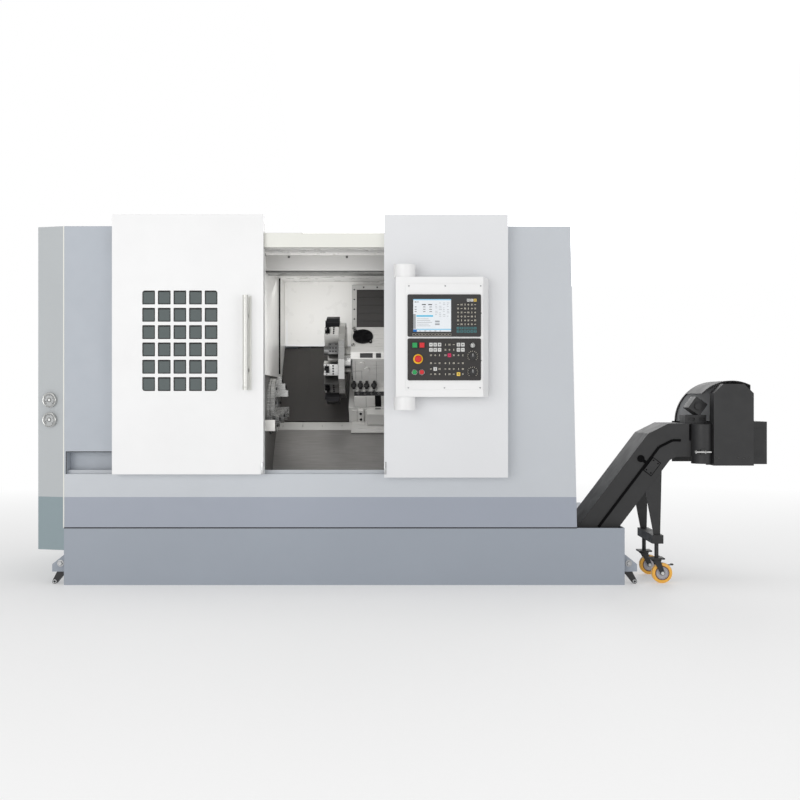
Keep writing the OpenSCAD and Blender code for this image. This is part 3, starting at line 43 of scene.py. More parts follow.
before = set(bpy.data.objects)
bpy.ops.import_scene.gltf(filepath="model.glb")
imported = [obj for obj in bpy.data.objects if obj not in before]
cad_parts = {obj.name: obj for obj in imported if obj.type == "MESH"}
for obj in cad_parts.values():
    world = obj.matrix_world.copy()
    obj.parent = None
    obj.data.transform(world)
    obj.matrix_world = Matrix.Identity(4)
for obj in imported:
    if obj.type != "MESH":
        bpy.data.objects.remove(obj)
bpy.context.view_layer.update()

MM = 0.001
SHARP = math.radians(32)
FRONT_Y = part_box("front_left_panel")[0].y
PAINT_LINE = 0.471
# Height below which the left wall is painted dark, as painted shade under the chuck
WALL_SHADE_LINE = 1.13


def mm(*values):
    """Lengths in millimetres as metres."""
    return tuple(value * MM for value in values)


def srgb(red, green, blue):
    """Turns a display colour of 0 to 255 into a linear one."""
    def linear(level):
        level /= 255
        return level / 12.92 if level <= 0.04045 else ((level + 0.055) / 1.055) ** 2.4
    return tuple(linear(level) for level in (red, green, blue))


def colour(name, about, red, green, blue):
    """A colour setting with its default in display values."""
    return bpy.props.FloatVectorProperty(
        name=name, description=about, subtype="COLOR", size=3, min=0, max=1, default=srgb(red, green, blue))


def length(name, about, value):
    """A length setting in metres."""
    return bpy.props.FloatProperty(name=name, description=about, default=value, min=0, unit="LENGTH")


class LatheColours(bpy.types.PropertyGroup):
    """Colours of the paints, plastics and metals"""

    white: colour("White enamel", "Door and pendant", 240, 240, 240)
    panel: colour("Panel enamel", "Fixed panel beside the door", 226, 227, 229)
    cream: colour("Cream enamel", "Beam over the door opening", 233, 233, 226)
    light_grey: colour("Light grey enamel", "Upper panels", 196, 200, 205)
    left_grey: colour("Blue grey enamel", "Panel behind the open door", 176, 182, 190)
    band_grey: colour("Band grey enamel", "Lower band of the front", 158, 164, 176)
    base_grey: colour("Base grey enamel", "Base tray and castings", 154, 161, 171)
    cover_grey: colour("Cover grey enamel", "Upper left end cover", 186, 190, 192)
    cover_band: colour("Cover band enamel", "Lower left end cover", 141, 156, 161)
    black: colour("Black powder coat", "Conveyor and its stand", 36, 36, 37)
    glass: colour("Window tint", "Laminated door window", 62, 74, 74)
    amber: colour("Castor tyre", "Polyurethane tread", 232, 172, 62)
    red: colour("Signal red", "Stop controls", 205, 28, 36)
    green: colour("Signal green", "Start controls", 24, 150, 78)


class LatheSizes(bpy.types.PropertyGroup):
    """Sizes of the small trim"""

    panel_screw: length("Panel screw", "Head diameter of the screws in the sheet panels", 12 * MM)
    face_screw: length("Faceplate screw", "Head diameter of the screws in the pendant", 8 * MM)
    key_rise: length("Key rise", "Height of a membrane key above its panel", 0.8 * MM)
    handle_cap: length("Handle cap", "Length of the caps on the door handle", 18 * MM)
    handle_post: length("Handle posts", "Spacing of the posts of the door handle", 287 * MM)
    gauge: length("Gauge", "Diameter of a pressure gauge", 80 * MM)
    gauge_depth: length("Gauge depth", "Depth of a pressure gauge", 22 * MM)


class LatheStudio(bpy.types.PropertyGroup):
    """Camera, floor and light"""

    distance: length("Camera distance", "From the camera to the front plane", 6.0)
    height: length("Camera height", "Above the floor", 0.99)
    offset: bpy.props.FloatProperty(
        name="Camera offset", description="Sideways from the middle", default=-0.0271, unit="LENGTH")
    lens: bpy.props.FloatProperty(
        name="Lens", description="Focal length on a 36 mm sensor", default=50.47, unit="CAMERA")
    floor: colour("Floor", "Pale studio floor", 250, 250, 250)
    sky: bpy.props.FloatProperty(
        name="Surround", description="Strength of the white surround", default=0.5, min=0)
    power: bpy.props.FloatProperty(
        name="Lights", description="Scale of the soft lights", default=0.6, min=0)


# Node helpers

TEXTURE = {"Shade": "Color", "Gloss": "Float", "Height": "Float"}
NOISE_BAND = (0.3, 0.7)
FINE_DETAIL = 2.0


def shader_node(tree, kind, sockets=None, **settings):
    """Adds a shader node. A socket given as a value is linked when it comes from another node."""
    made = tree.nodes.new("ShaderNode" + kind)
    for name, value in settings.items():
        setattr(made, name, value)
    for name, value in (sockets or {}).items():
        if isinstance(value, bpy.types.NodeSocket):
            tree.links.new(value, made.inputs[name])
        else:
            made.inputs[name].default_value = value
    return made


def new_group(name, inputs, outputs):
    """Starts a shader group with float inputs and the given outputs, and returns it with its two ends."""
    tree = bpy.data.node_groups.new(name, "ShaderNodeTree")
    for label, default in inputs.items():
        socket = tree.interface.new_socket(label, in_out="INPUT", socket_type="NodeSocketFloat")
        socket.default_value = default
    for label, kind in outputs.items():
        tree.interface.new_socket(label, in_out="OUTPUT", socket_type="NodeSocket" + kind)
    return tree, tree.nodes.new("NodeGroupInput"), tree.nodes.new("NodeGroupOutput")


def here(tree):
    """Coordinates fixed to the object."""
    return shader_node(tree, "TexCoord").outputs["Object"]


def noise(tree, where, scale, detail=3.0):
    """A noise value over a place in metres."""
    made = shader_node(tree, "TexNoise", {"Vector": where, "Scale": scale, "Detail": detail})
    return made.outputs["Fac"]


def stretch(tree, value, low, high):
    """Maps 0..1 noise, which stays mostly near its middle, to a range."""
    start, end = NOISE_BAND
    made = shader_node(tree, "MapRange", {
        "Value": value, "From Min": start, "From Max": end, "To Min": low, "To Max": high})
    return made.outputs["Result"]


def calculate(tree, operation, first, second):
    """The result of a math node on two values."""
    return shader_node(tree, "Math", {0: first, 1: second}, operation=operation).outputs[0]


def multiplied(tree, tint, shade):
    """A colour, given as a value or a socket, times a shade."""
    base = tint if isinstance(tint, bpy.types.NodeSocket) else (*tint, 1.0)
    mix = shader_node(tree, "Mix", {"Factor": 1.0, "A": base, "B": shade},
                      data_type="RGBA", blend_type="MULTIPLY")
    return mix.outputs["Result"]


def end_texture(tree, given, out, shade, drift, height):
    """Ends a texture group: a grey shade, the given roughness with its drift, and a relief."""
    grey = shader_node(tree, "CombineColor", dict.fromkeys(("Red", "Green", "Blue"), shade)).outputs[0]
    gloss = calculate(tree, "ADD", given.outputs["Roughness"], drift)
    for label, value in zip(TEXTURE, (grey, gloss, height)):
        tree.links.new(value, out.inputs[label])


def build_sprayed_coat():
    """Group: orange peel and slow shade changes of sprayed enamel."""
    mottle_scale, drift_scale, drift_reach = 2.2, 14.0, 0.05
    tree, given, out = new_group(
        "Sprayed Coat", {"Peel Scale": 260.0, "Mottle": 0.03, "Roughness": 0.4}, TEXTURE)
    where = here(tree)
    low = calculate(tree, "SUBTRACT", 1.0, given.outputs["Mottle"])
    shade = stretch(tree, noise(tree, where, mottle_scale), low, 1.0)
    drift = stretch(tree, noise(tree, where, drift_scale), -drift_reach, drift_reach)
    peel = noise(tree, where, given.outputs["Peel Scale"], FINE_DETAIL)
    end_texture(tree, given, out, shade, drift, peel)


def build_drawn_lines():
    """Group: fine parallel lines of brushed or rolled sheet, along X, with cloudy shade changes."""
    line_stretch, cloud_scale, drift_reach = (0.02, 1.0, 1.0), 3.5, 0.08
    tree, given, out = new_group(
        "Drawn Lines", {"Fineness": 420.0, "Depth": 0.1, "Roughness": 0.3}, TEXTURE)
    where = here(tree)
    along = shader_node(tree, "Mapping", {"Vector": where, "Scale": line_stretch}).outputs[0]
    lines = noise(tree, along, given.outputs["Fineness"], FINE_DETAIL)
    cloud = noise(tree, where, cloud_scale)
    low = calculate(tree, "SUBTRACT", 1.0, given.outputs["Depth"])
    shade = calculate(tree, "MULTIPLY", stretch(tree, lines, low, 1.0), stretch(tree, cloud, low, 1.0))
    drift = stretch(tree, lines, -drift_reach, drift_reach)
    end_texture(tree, given, out, shade, drift, lines)


def build_moulded_grain():
    """Group: fine spark-eroded grain of moulded plastic and rubber, with faint dust."""
    grain_detail, dust_scale, drift_reach = 1.0, 22.0, 0.07
    tree, given, out = new_group(
        "Moulded Grain", {"Grain": 900.0, "Dust": 0.12, "Roughness": 0.5}, TEXTURE)
    where = here(tree)
    grain = noise(tree, where, given.outputs["Grain"], grain_detail)
    high = calculate(tree, "ADD", 1.0, given.outputs["Dust"])
    shade = stretch(tree, noise(tree, where, dust_scale), 1.0, high)
    drift = stretch(tree, grain, -drift_reach, drift_reach)
    end_texture(tree, given, out, shade, drift, grain)


def build_eased_edge():
    """Group: normals that round off the sharp edges of folded and machined pieces."""
    tree, given, out = new_group("Eased Edge", {"Radius": 1.5 * MM}, {"Normal": "Vector"})
    bevel = shader_node(tree, "Bevel", {"Radius": given.outputs["Radius"]}, samples=4)
    tree.links.new(bevel.outputs["Normal"], out.inputs["Normal"])


# Finishes

SHEET_EASE, MOULD_EASE, SCREEN_EASE = mm(1.5, 0.8, 0.2)
RELIEF = 0.2 * MM
ENAMEL_BUMP, STEEL_BUMP, MOULD_BUMP, GLASS_BUMP = 0.12, 0.08, 0.1, 0.02

# A tint is the name of a colour setting, or display values of 0 to 255.

# Enamel: tint, roughness
ENAMELS = {
    "white_enamel": ("white", 0.36),
    "panel_enamel": ("panel", 0.4),
    "cream_enamel": ("cream", 0.4),
    "light_grey_enamel": ("light_grey", 0.38),
    "blue_grey_enamel": ("left_grey", 0.38),
    "base_enamel": ("base_grey", 0.42),
    "guard_enamel": ((238, 237, 234), 0.3),
    "lamp_enamel": ((166, 165, 163), 0.4),
}

# Enamel in two colours: tint above and below the paint line
TWO_TONE_ENAMELS = {
    "sill_enamel": ("light_grey", "band_grey"),
    "end_cover_enamel": ("cover_grey", "cover_band"),
}
TWO_TONE_ROUGHNESS = 0.38

# Coat on castings and black sheet: tint, scale of the peel, mottle, roughness, bump, metallic
COATS = {
    "cast_paint": ("base_grey", 130.0, 0.12, 0.5, 0.5, 0.0),
    "black_coat": ("black", 420.0, 0.1, 0.5, 0.25, 0.0),
    "dark_coat_and_painted_shade": ((36, 36, 37), 420.0, 0.15, 0.45, 0.25, 0.0),
    # cast_grey: a pale grey, raised so that the shaded inner plate of the conveyor head reads lit
    "cast_grey": ((206, 208, 210), 220.0, 0.4, 0.6, 0.6, 0.0),
    "dark_casting": ((92, 92, 90), 180.0, 0.25, 0.55, 0.6, 0.6),
}

# Steel: tint, roughness, depth of the lines, metallic
STEELS = {
    "guard_steel": ((186, 185, 182), 0.36, 0.08, 0.25),
    "slope_steel": ((150, 148, 146), 0.36, 0.22, 0.55),
    "slide_steel": ((194, 193, 190), 0.34, 0.1, 0.4),
    "polished_steel": ((214, 214, 212), 0.2, 0.1, 1.0),
    "chuck_steel": ((184, 184, 182), 0.26, 0.3, 0.75),
    "zinc_steel": ((190, 191, 192), 0.3, 0.1, 1.0),
    "handle_steel": ((226, 226, 221), 0.36, 0.06, 0.4),
    "holder_steel": ((150, 150, 150), 0.34, 0.2, 1.0),
    "light_steel": ((222, 222, 220), 0.3, 0.12, 1.0),
    "black_oxide": ((48, 48, 50), 0.42, 0.2, 1.0),
    "cover_steel": ((66, 64, 63), 0.42, 0.12, 0.3),
}

# Moulded plastic and rubber: tint, roughness
MOULDINGS = {
    "black_moulding": ((44, 43, 43), 0.42),
    "panel_film": ((40, 37, 36), 0.5),
    "dark_key": ((40, 38, 37), 0.4),
    "white_key": ((206, 206, 204), 0.4),
    "yellow_key": ((232, 196, 84), 0.4),
    "magenta_key": ((196, 22, 84), 0.4),
    "teal_key": ((60, 112, 116), 0.4),
    "legend": ((196, 190, 176), 0.5),
    "red_cap": ("red", 0.3),
    "green_cap": ("green", 0.3),
    "yellow_ring": ((240, 186, 30), 0.4),
    # rubber is the real rubber of gaskets and belt, and also painted shade on the door pocket's top and left
    # edges, in a holder's bore, in a block's grooves and in the louvre slots
    "rubber": ((26, 26, 26), 0.7),
    # flat_black_and_painted_shade is near-black and dull: painted shade in gaps, at the throat, along the
    # rib and on the wall's lip, and the colour of the black knob and hatch screws
    "flat_black_and_painted_shade": ((10, 10, 11), 0.9),
    "amber_tread": ("amber", 0.35),
    "tread_line": ((86, 22, 16), 0.5),
    "hub_grey": ((176, 174, 178), 0.45),
    "dial_face": ((178, 180, 180), 0.45),
    # lamp_lens_painted_shade: the lens under the lamp box, mid-dark as painted shade of the box's underside
    "lamp_lens_painted_shade": ((96, 96, 94), 0.3),
}
MOULDING_SHADERS = {
    "red_cap": {"Coat Weight": 0.4},
    "green_cap": {"Coat Weight": 0.4},
    "amber_tread": {"Coat Weight": 0.3},
    "flat_black_and_painted_shade": {"Specular IOR Level": 0.1},
}

# Laminated glass: tint
GLASSES = {"door_glass": "glass", "gauge_glass": (232, 234, 232)}
GLASS_TEXTURE = {"Roughness": 0.1, "Dust": 0.06, "Grain": 60.0}
GLASS_SHADER = {"Coat Weight": 0.15, "Coat Roughness": 0.04, "Specular IOR Level": 0.3}

# Colours of the screen, which glow a little: tint, strength of the glow
SCREEN_COLOURS = {
    "screen_page": ((226, 230, 234), 0.06),
    "screen_cyan": ((72, 184, 220), 0.06),
    "screen_pale_blue": ((150, 202, 230), 0.06),
    "screen_blue": ((30, 112, 188), 0.06),
    "screen_ink": ((60, 62, 66), 0.0),
    "screen_grey": ((160, 164, 168), 0.0),
}
SCREEN_TEXTURE = {"Roughness": 0.25, "Dust": 0.03}


def surface(name, group, values, tint, bump, ease=SHEET_EASE, shader=None):
    """A finish: tint times the group's shade, its gloss and its relief, over eased edges.

    The tint is a colour, or a call that makes a colour socket from the tree."""
    if name in bpy.data.materials:
        raise RuntimeError(f"a material named {name} is already there")
    material = bpy.data.materials.new(name)
    material.use_nodes = True
    material.diffuse_color = (0.5, 0.5, 0.5, 1.0) if callable(tint) else (*tint, 1.0)
    tree = material.node_tree
    principled = tree.nodes["Principled BSDF"]
    texture = shader_node(tree, "Group", values, node_tree=bpy.data.node_groups[group])
    base = multiplied(tree, tint(tree) if callable(tint) else tint, texture.outputs["Shade"])
    eased = shader_node(tree, "Group", {"Radius": ease}, node_tree=bpy.data.node_groups["Eased Edge"])
    relief = shader_node(tree, "Bump", {
        "Strength": bump, "Distance": RELIEF, "Height": texture.outputs["Height"],
        "Normal": eased.outputs["Normal"]})
    tree.links.new(base, principled.inputs["Base Color"])
    tree.links.new(texture.outputs["Gloss"], principled.inputs["Roughness"])
    tree.links.new(relief.outputs["Normal"], principled.inputs["Normal"])
    for label, value in (shader or {}).items():
        principled.inputs[label].default_value = value


def split_at_height(line, upper, lower):
    """A tint that changes from one paint to another at a height."""
    def make(tree):
        up = shader_node(tree, "SeparateXYZ", {"Vector": here(tree)}).outputs["Z"]
        above = calculate(tree, "GREATER_THAN", up, line)
        mix = shader_node(tree, "Mix", {"Factor": above, "A": (*lower, 1.0), "B": (*upper, 1.0)},
                          data_type="RGBA")
        return mix.outputs["Result"]
    return make


def build_paints(pick):
    """Enamels and coats."""
    for name, (tint, roughness) in ENAMELS.items():
        surface(name, "Sprayed Coat", {"Roughness": roughness}, pick(tint), ENAMEL_BUMP)
    for name, (upper, lower) in TWO_TONE_ENAMELS.items():
        tint = split_at_height(PAINT_LINE, pick(upper), pick(lower))
        surface(name, "Sprayed Coat", {"Roughness": TWO_TONE_ROUGHNESS}, tint, ENAMEL_BUMP)
    for name, (tint, peel, mottle, roughness, bump, metallic) in COATS.items():
        values = {"Peel Scale": peel, "Mottle": mottle, "Roughness": roughness}
        surface(name, "Sprayed Coat", values, pick(tint), bump, shader={"Metallic": metallic})


def build_steels(pick):
    """Bare and clear-coated steel, and the left wall, which is painted dark below the chuck guard: painted
    shade.
    """
    for name, (tint, roughness, depth, metallic) in STEELS.items():
        values = {"Roughness": roughness, "Depth": depth}
        surface(name, "Drawn Lines", values, pick(tint), STEEL_BUMP, shader={"Metallic": metallic})
    # The wall's lower part is dark: painted shade below the chuck guard.
    wall = split_at_height(WALL_SHADE_LINE, srgb(240, 239, 236), srgb(70, 69, 68))
    values = {"Roughness": 0.36, "Depth": 0.06}
    surface("wall_steel", "Drawn Lines", values, wall, STEEL_BUMP, shader={"Metallic": 0.2})


def build_plastics(pick):
    """Mouldings, glass and the colours of the screen."""
    for name, (tint, roughness) in MOULDINGS.items():
        surface(name, "Moulded Grain", {"Roughness": roughness}, pick(tint), MOULD_BUMP, MOULD_EASE,
                MOULDING_SHADERS.get(name))
    for name, tint in GLASSES.items():
        surface(name, "Moulded Grain", GLASS_TEXTURE, pick(tint), GLASS_BUMP, shader=GLASS_SHADER)
    for name, (tint, glow) in SCREEN_COLOURS.items():
        shader = {"Emission Color": (*pick(tint), 1.0), "Emission Strength": glow}
        surface(name, "Moulded Grain", SCREEN_TEXTURE, pick(tint), GLASS_BUMP, SCREEN_EASE, shader)


def build_finishes(colours):
    """Makes the texture groups and every finish of the machine."""
    def pick(tint):
        return getattr(colours, tint) if isinstance(tint, str) else srgb(*tint)

    build_sprayed_coat()
    build_drawn_lines()
    build_moulded_grain()
    build_eased_edge()
    build_paints(pick)
    build_steels(pick)
    build_plastics(pick)


NODE_FINISHES = {
    "white_enamel": ["door_panel", "pendant_housing", "pendant_brackets"],
    "panel_enamel": ["fixed_front_panel"],
    "cream_enamel": ["top_beam"],
    "light_grey_enamel": ["right_end_panel", "roof_panel", "electrical_cabinet", "cabinet_door"],
    "blue_grey_enamel": ["front_left_panel"],
    "sill_enamel": ["front_sill_panel"],
    "end_cover_enamel": ["left_end_cover"],
    "base_enamel": ["base_tray"],
    "cast_paint": ["slant_bed", "headstock", "tailstock", "spindle_motor"],
    "black_coat": ["levelling_feet", "conveyor_trough", "conveyor_head", "conveyor_stand",
                   "castor_fork_front", "castor_fork_rear"],
    "dark_coat_and_painted_shade": ["gear_reducer"],
    "guard_enamel": ["rear_guard"],
    "guard_steel": ["saddle"],
    "wall_steel": ["headstock_guard"],
    "slope_steel": ["lower_guard"],
    "slide_steel": ["cross_slide", "turret_housing"],
    "cover_steel": ["way_cover_fixed", "way_cover_middle", "way_cover_outer", "x_way_cover"],
    "polished_steel": ["turret_disc", "spindle_shaft", "tailstock_quill", "key_switch"],
    "chuck_steel": ["chuck_body", "chuck_jaw_1", "chuck_jaw_2", "chuck_jaw_3"],
    "handle_steel": ["door_handle"],
    "holder_steel": ["tool_holders"],
    "dark_casting": ["motor_pulley"],
    "rubber": ["drive_belt"],
    "door_glass": ["door_window"],
    "black_moulding": ["display_unit", "display_screen", "spindle_override_knob", "feed_override_knob"],
    "panel_film": ["control_panel"],
    "red_cap": ["emergency_stop", "power_off_button", "feed_hold_button"],
    "green_cap": ["power_on_button", "cycle_start_button"],
    "hub_grey": ["castor_wheel_front", "castor_wheel_rear"],
    "zinc_steel": ["pressure_gauges"],
}


def finish_nodes():
    """Gives each solid of the frame its finish."""
    finished = set()
    for name, nodes in NODE_FINISHES.items():
        for node in nodes:
            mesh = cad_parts[node].data
            mesh.materials.clear()
            mesh.materials.append(bpy.data.materials[name])
            finished.add(node)
    missing = set(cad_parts) - finished
    if missing:
        raise RuntimeError("no finish for " + ", ".join(sorted(missing)))


# Mesh helpers

TINY = 1e-7
HEXAGON, SMOOTH = 6, 48


def facing(at, normal, up=(0, 0, 1)):
    """A place whose Z stands along the normal, with X to the right and Y up as seen from outside."""
    out = Vector(normal).normalized()
    right = Vector(up).cross(out).normalized()
    place = Matrix((right, out.cross(right), out)).transposed().to_4x4()
    place.translation = Vector(at)
    return place


def on(place, x, y, z=0.0, turn=0.0):
    """A place shifted on its own face, and turned about its normal."""
    return place @ Matrix.Translation((x, y, z)) @ Matrix.Rotation(turn, 4, "Z")


def row(start, end, count):
    """Points spread evenly from one place to another."""
    return [Vector(start).lerp(Vector(end), k / (count - 1)) for k in range(count)]


def ring_points(radius, sides):
    """Points of a circle, as cosine and sine times its radius."""
    turns = (2 * math.pi * k / sides for k in range(sides))
    return [(radius * math.cos(a), radius * math.sin(a)) for a in turns]


def rounded(width, height, radius, steps=4):
    """Outline of a rectangle with round corners, about its middle."""
    outline = []
    corners = ((1, 1, 0), (-1, 1, 90), (-1, -1, 180), (1, -1, 270))
    for right, up, start in corners:
        for k in range(steps + 1):
            turn = math.radians(start + 90 * k / steps)
            outline.append((right * (width / 2 - radius) + radius * math.cos(turn),
                            up * (height / 2 - radius) + radius * math.sin(turn)))
    return outline


class Piece:
    """One mesh in the making. Each shape takes the finish that was named last."""

    def __init__(self, name):
        self.name = name
        self.shape = bmesh.new()
        self.finishes = []
        self.current = 0

    def use(self, finish):
        """Names the finish of the shapes that follow."""
        if finish not in self.finishes:
            self.finishes.append(finish)
        self.current = self.finishes.index(finish)
        return self

    def take(self, part, place):
        """Moves a made shape to its place in the mesh."""
        bmesh.ops.recalc_face_normals(part, faces=part.faces)
        part.transform(place)
        for face in part.faces:
            face.material_index = self.current
            face.smooth = True
        mesh = bpy.data.meshes.new(self.name)
        part.to_mesh(mesh)
        part.free()
        self.shape.from_mesh(mesh)
        bpy.data.meshes.remove(mesh)

    def slab(self, place, outline, low, high, ease=0.0):
        """Adds an outline drawn out along Z, with its edges eased."""
        part = bmesh.new()
        face = part.faces.new([part.verts.new((x, y, low)) for x, y in outline])
        made = bmesh.ops.extrude_face_region(part, geom=[face])["geom"]
        top = [item for item in made if isinstance(item, bmesh.types.BMVert)]
        bmesh.ops.translate(part, verts=top, vec=(0, 0, high - low))
        if ease:
            rims = [edge for edge in part.edges
                    if abs(edge.verts[0].co.z - edge.verts[1].co.z) < TINY]
            bmesh.ops.bevel(part, geom=rims, offset=ease, segments=2, profile=0.6, affect="EDGES",
                            clamp_overlap=True)
        self.take(part, place)

    def box(self, place, low, high, ease=0.0):
        """Adds a box between two corners of a place."""
        (x0, y0, z0), (x1, y1, z1) = low, high
        self.slab(place, [(x0, y0), (x1, y0), (x1, y1), (x0, y1)], z0, z1, ease)

    def turned(self, place, profile, sides=32):
        """Adds a profile of (radius, height) points turned about Z."""
        part = bmesh.new()
        rings = []
        for radius, height in profile:
            spots = ring_points(radius, sides) if radius > TINY else [(0.0, 0.0)]
            rings.append([part.verts.new((x, y, height)) for x, y in spots])
        for lower, upper in zip(rings, rings[1:]):
            for k in range(sides):
                loop = ((lower, k), (lower, k + 1), (upper, k + 1), (upper, k))
                corners = list(dict.fromkeys(ring[n % len(ring)] for ring, n in loop))
                if len(corners) > 2:
                    part.faces.new(corners)
        self.take(part, place)

    def rod(self, place, radius, low, high, ease=0.0, sides=32):
        """Adds a round bar along Z with eased ends."""
        self.turned(place, [(0, low), (radius - ease, low), (radius, low + ease), (radius, high - ease),
                            (radius - ease, high), (0, high)], sides)

    def ring(self, place, inner, outer, low, high, ease=0.0, sides=40):
        """Adds a flat ring about Z."""
        self.turned(place, [(inner, low), (outer, low), (outer, high - ease), (outer - ease, high),
                            (inner + ease, high), (inner, high - ease), (inner, low)], sides)

    def tube(self, path, radius, sides=14):
        """Adds a round pipe along points of the frame."""
        part = bmesh.new()
        rings = []
        side = None
        for k, point in enumerate(path):
            ahead = (path[min(k + 1, len(path) - 1)] - path[max(k - 1, 0)]).normalized()
            if side is None:
                side = ahead.orthogonal().normalized()
            side = (side - ahead * side.dot(ahead)).normalized()
            other = ahead.cross(side)
            spots = ring_points(radius, sides)
            rings.append([part.verts.new(point + side * x + other * y) for x, y in spots])
        for lower, upper in zip(rings, rings[1:]):
            for k in range(sides):
                n = (k + 1) % sides
                part.faces.new((lower[k], lower[n], upper[n], upper[k]))
        part.faces.new(list(reversed(rings[0])))
        part.faces.new(rings[-1])
        self.take(part, Matrix.Identity(4))

    def socket_screw(self, place, head, rise=None):
        """Adds a round-headed screw with a hexagon socket."""
        radius = head / 2
        rise = rise or head * 0.35
        crown, mouth = radius * 0.8, radius * 0.45
        self.turned(place, [(radius, 0), (radius, rise * 0.45), (crown, rise), (mouth, rise)])
        self.turned(place, [(mouth, rise), (radius * 0.42, rise * 0.35), (0, rise * 0.3)], HEXAGON)

    def hex_bolt(self, place, across):
        """Adds a hexagon bolt on a washer."""
        corner, washer, top = across * 0.57, across * 0.12, across * 0.64
        self.ring(place, 0, across * 0.85, 0, washer, across * 0.03)
        head = [(corner, washer), (corner, across * 0.55), (across / 2, top), (0, top)]
        self.turned(place, head, HEXAGON)

    def build(self, body, slot):
        """Puts the mesh in the scene, riding on a body."""
        mesh = bpy.data.meshes.new(self.name)
        self.shape.to_mesh(mesh)
        self.shape.free()
        for name in self.finishes:
            mesh.materials.append(bpy.data.materials[name])
        mesh.set_sharp_from_angle(angle=SHARP)
        made = bpy.data.objects.new(self.name, mesh)
        bpy.context.scene.collection.objects.link(made)
        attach(made, body)
        return made


# Places on the machine

FRONT = (0, -1, 0)
BACK = (0, 1, 0)
RIGHT = (1, 0, 0)
UP = (0, 0, 1)
HALF = math.sqrt(0.5)
UP_SLOPE = Vector((0, HALF, HALF))
OFF_SLOPE = Vector((0, -HALF, HALF))
PROUD = 1 * MM


def middle_of(node):
    """The middle of a node's box."""
    low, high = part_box(node)
    return (low + high) / 2


def size_of(node):
    """Width, depth and height of a node's box."""
    low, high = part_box(node)
    return high - low


def front_of(node):
    """The front face of a node's box, from its lower left corner."""
    return facing(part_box(node)[0], FRONT)


def top_left_of(node):
    """The front face of a node's box, from its upper left corner."""
    low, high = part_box(node)
    return facing((low.x, low.y, high.z), FRONT)


AXIS = middle_of("chuck_body")


def on_slope(x, up, off):
    """A point at X, a way up the slope from the spindle axis and a height square off it."""
    return Vector((x, AXIS.y, AXIS.z)) + UP_SLOPE * up + OFF_SLOPE * off


def slope_box(node):
    """Lowest and highest X, way up the slope and height off it of a node."""
    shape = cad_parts[node]
    spots = [shape.matrix_world @ corner.co for corner in shape.data.vertices]
    rows = [(spot.x, (spot - AXIS).dot(UP_SLOPE), (spot - AXIS).dot(OFF_SLOPE)) for spot in spots]
    return Vector(map(min, zip(*rows))), Vector(map(max, zip(*rows)))


def dial_turns(marks):
    """Turns of the marks of a dial, from lower left over the top to lower right."""
    start, sweep = 225, 270
    return [math.radians(start - sweep * k / (marks - 1)) for k in range(marks)]


# Enclosure

SEAM_AND_LINE_WIDTH = 4 * MM
POCKET = {"margin": 14 * MM, "height": 117 * MM}
CORNER_PLATE = mm(12, 65, 3)
SCREW_EDGE = 60 * MM
WALL_SCREWS, END_SCREWS = 9, 6


def build_seams_shade_and_highlight():
    """A dark joint along the sill, dark lines on the top and left edges of the door's pocket as painted
    shade, and a pale strip on the left panel's edge as a painted highlight.
    """
    seams = Piece("enclosure_seams_shade_and_highlight").use("rubber")
    seams.box(front_of("front_sill_panel"), (0, -SEAM_AND_LINE_WIDTH / 2, 0), (size_of("front_sill_panel").x, SEAM_AND_LINE_WIDTH, PROUD))
    panel, size = front_of("front_left_panel"), size_of("front_left_panel")
    margin, top = POCKET["margin"], POCKET["height"]
    # Dark lines on the pocket's left and top edges: painted shade of the recess.
    seams.box(panel, (margin - SEAM_AND_LINE_WIDTH, 0, 0), (margin, top, PROUD))
    seams.box(panel, (margin - SEAM_AND_LINE_WIDTH, top, 0), (size.x, top + SEAM_AND_LINE_WIDTH, PROUD))
    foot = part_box("front_sill_panel")[0].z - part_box("front_left_panel")[0].z
    # A pale strip along the left panel's edge: painted highlight.
    seams.use("cream_enamel").box(panel, (-SEAM_AND_LINE_WIDTH, foot, -PROUD), (SEAM_AND_LINE_WIDTH / 2, size.z, PROUD))
    seams.build("root", "light_grey_paint")


def build_corner_plate():
    """The plate at the foot of the fixed panel, level with the door's."""
    plate = Piece("fixed_corner_plate").use("zinc_steel")
    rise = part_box("door_panel")[0].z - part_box("fixed_front_panel")[0].z
    plate.box(on(front_of("fixed_front_panel"), 0, rise), (0, 0, 0), CORNER_PLATE, PROUD / 2)
    plate.build("root", "stainless_sheet")


def build_panel_screws(head):
    """Screws along the rear wall and the right end panel."""
    screws = Piece("enclosure_screws").use("zinc_steel")
    low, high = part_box("roof_panel")
    for z in (low.z + SCREW_EDGE, high.z - SCREW_EDGE):
        start, end = (low.x + SCREW_EDGE, high.y, z), (high.x - 2 * SCREW_EDGE, high.y, z)
        for spot in row(start, end, WALL_SCREWS):
            screws.socket_screw(facing(spot, BACK), head)
    low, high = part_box("right_end_panel")
    lean = (high.x - low.x) / (high.z - low.z)
    for z in (low.z + 4 * SCREW_EDGE, high.z - SCREW_EDGE):
        x = high.x - lean * (z - low.z)
        for spot in row((x, low.y + SCREW_EDGE, z), (x, high.y - SCREW_EDGE, z), END_SCREWS):
            screws.socket_screw(facing(spot, (1, 0, lean)), head)
    screws.build("root", "bright_steel")


# Door

CELL = mm(67, 73.5)
BAR = mm(15.5, 18)
CELLS = (5, 6)
# Widths of a gasket's sides and foot, and of its top band, which is wider as painted shade
GASKET_AND_SHADE = mm(5, 8)
# Sides of a pale strip on the door beside the handle bar, in radii of the bar
HANDLE_STRIP = (0.4, 1.7)


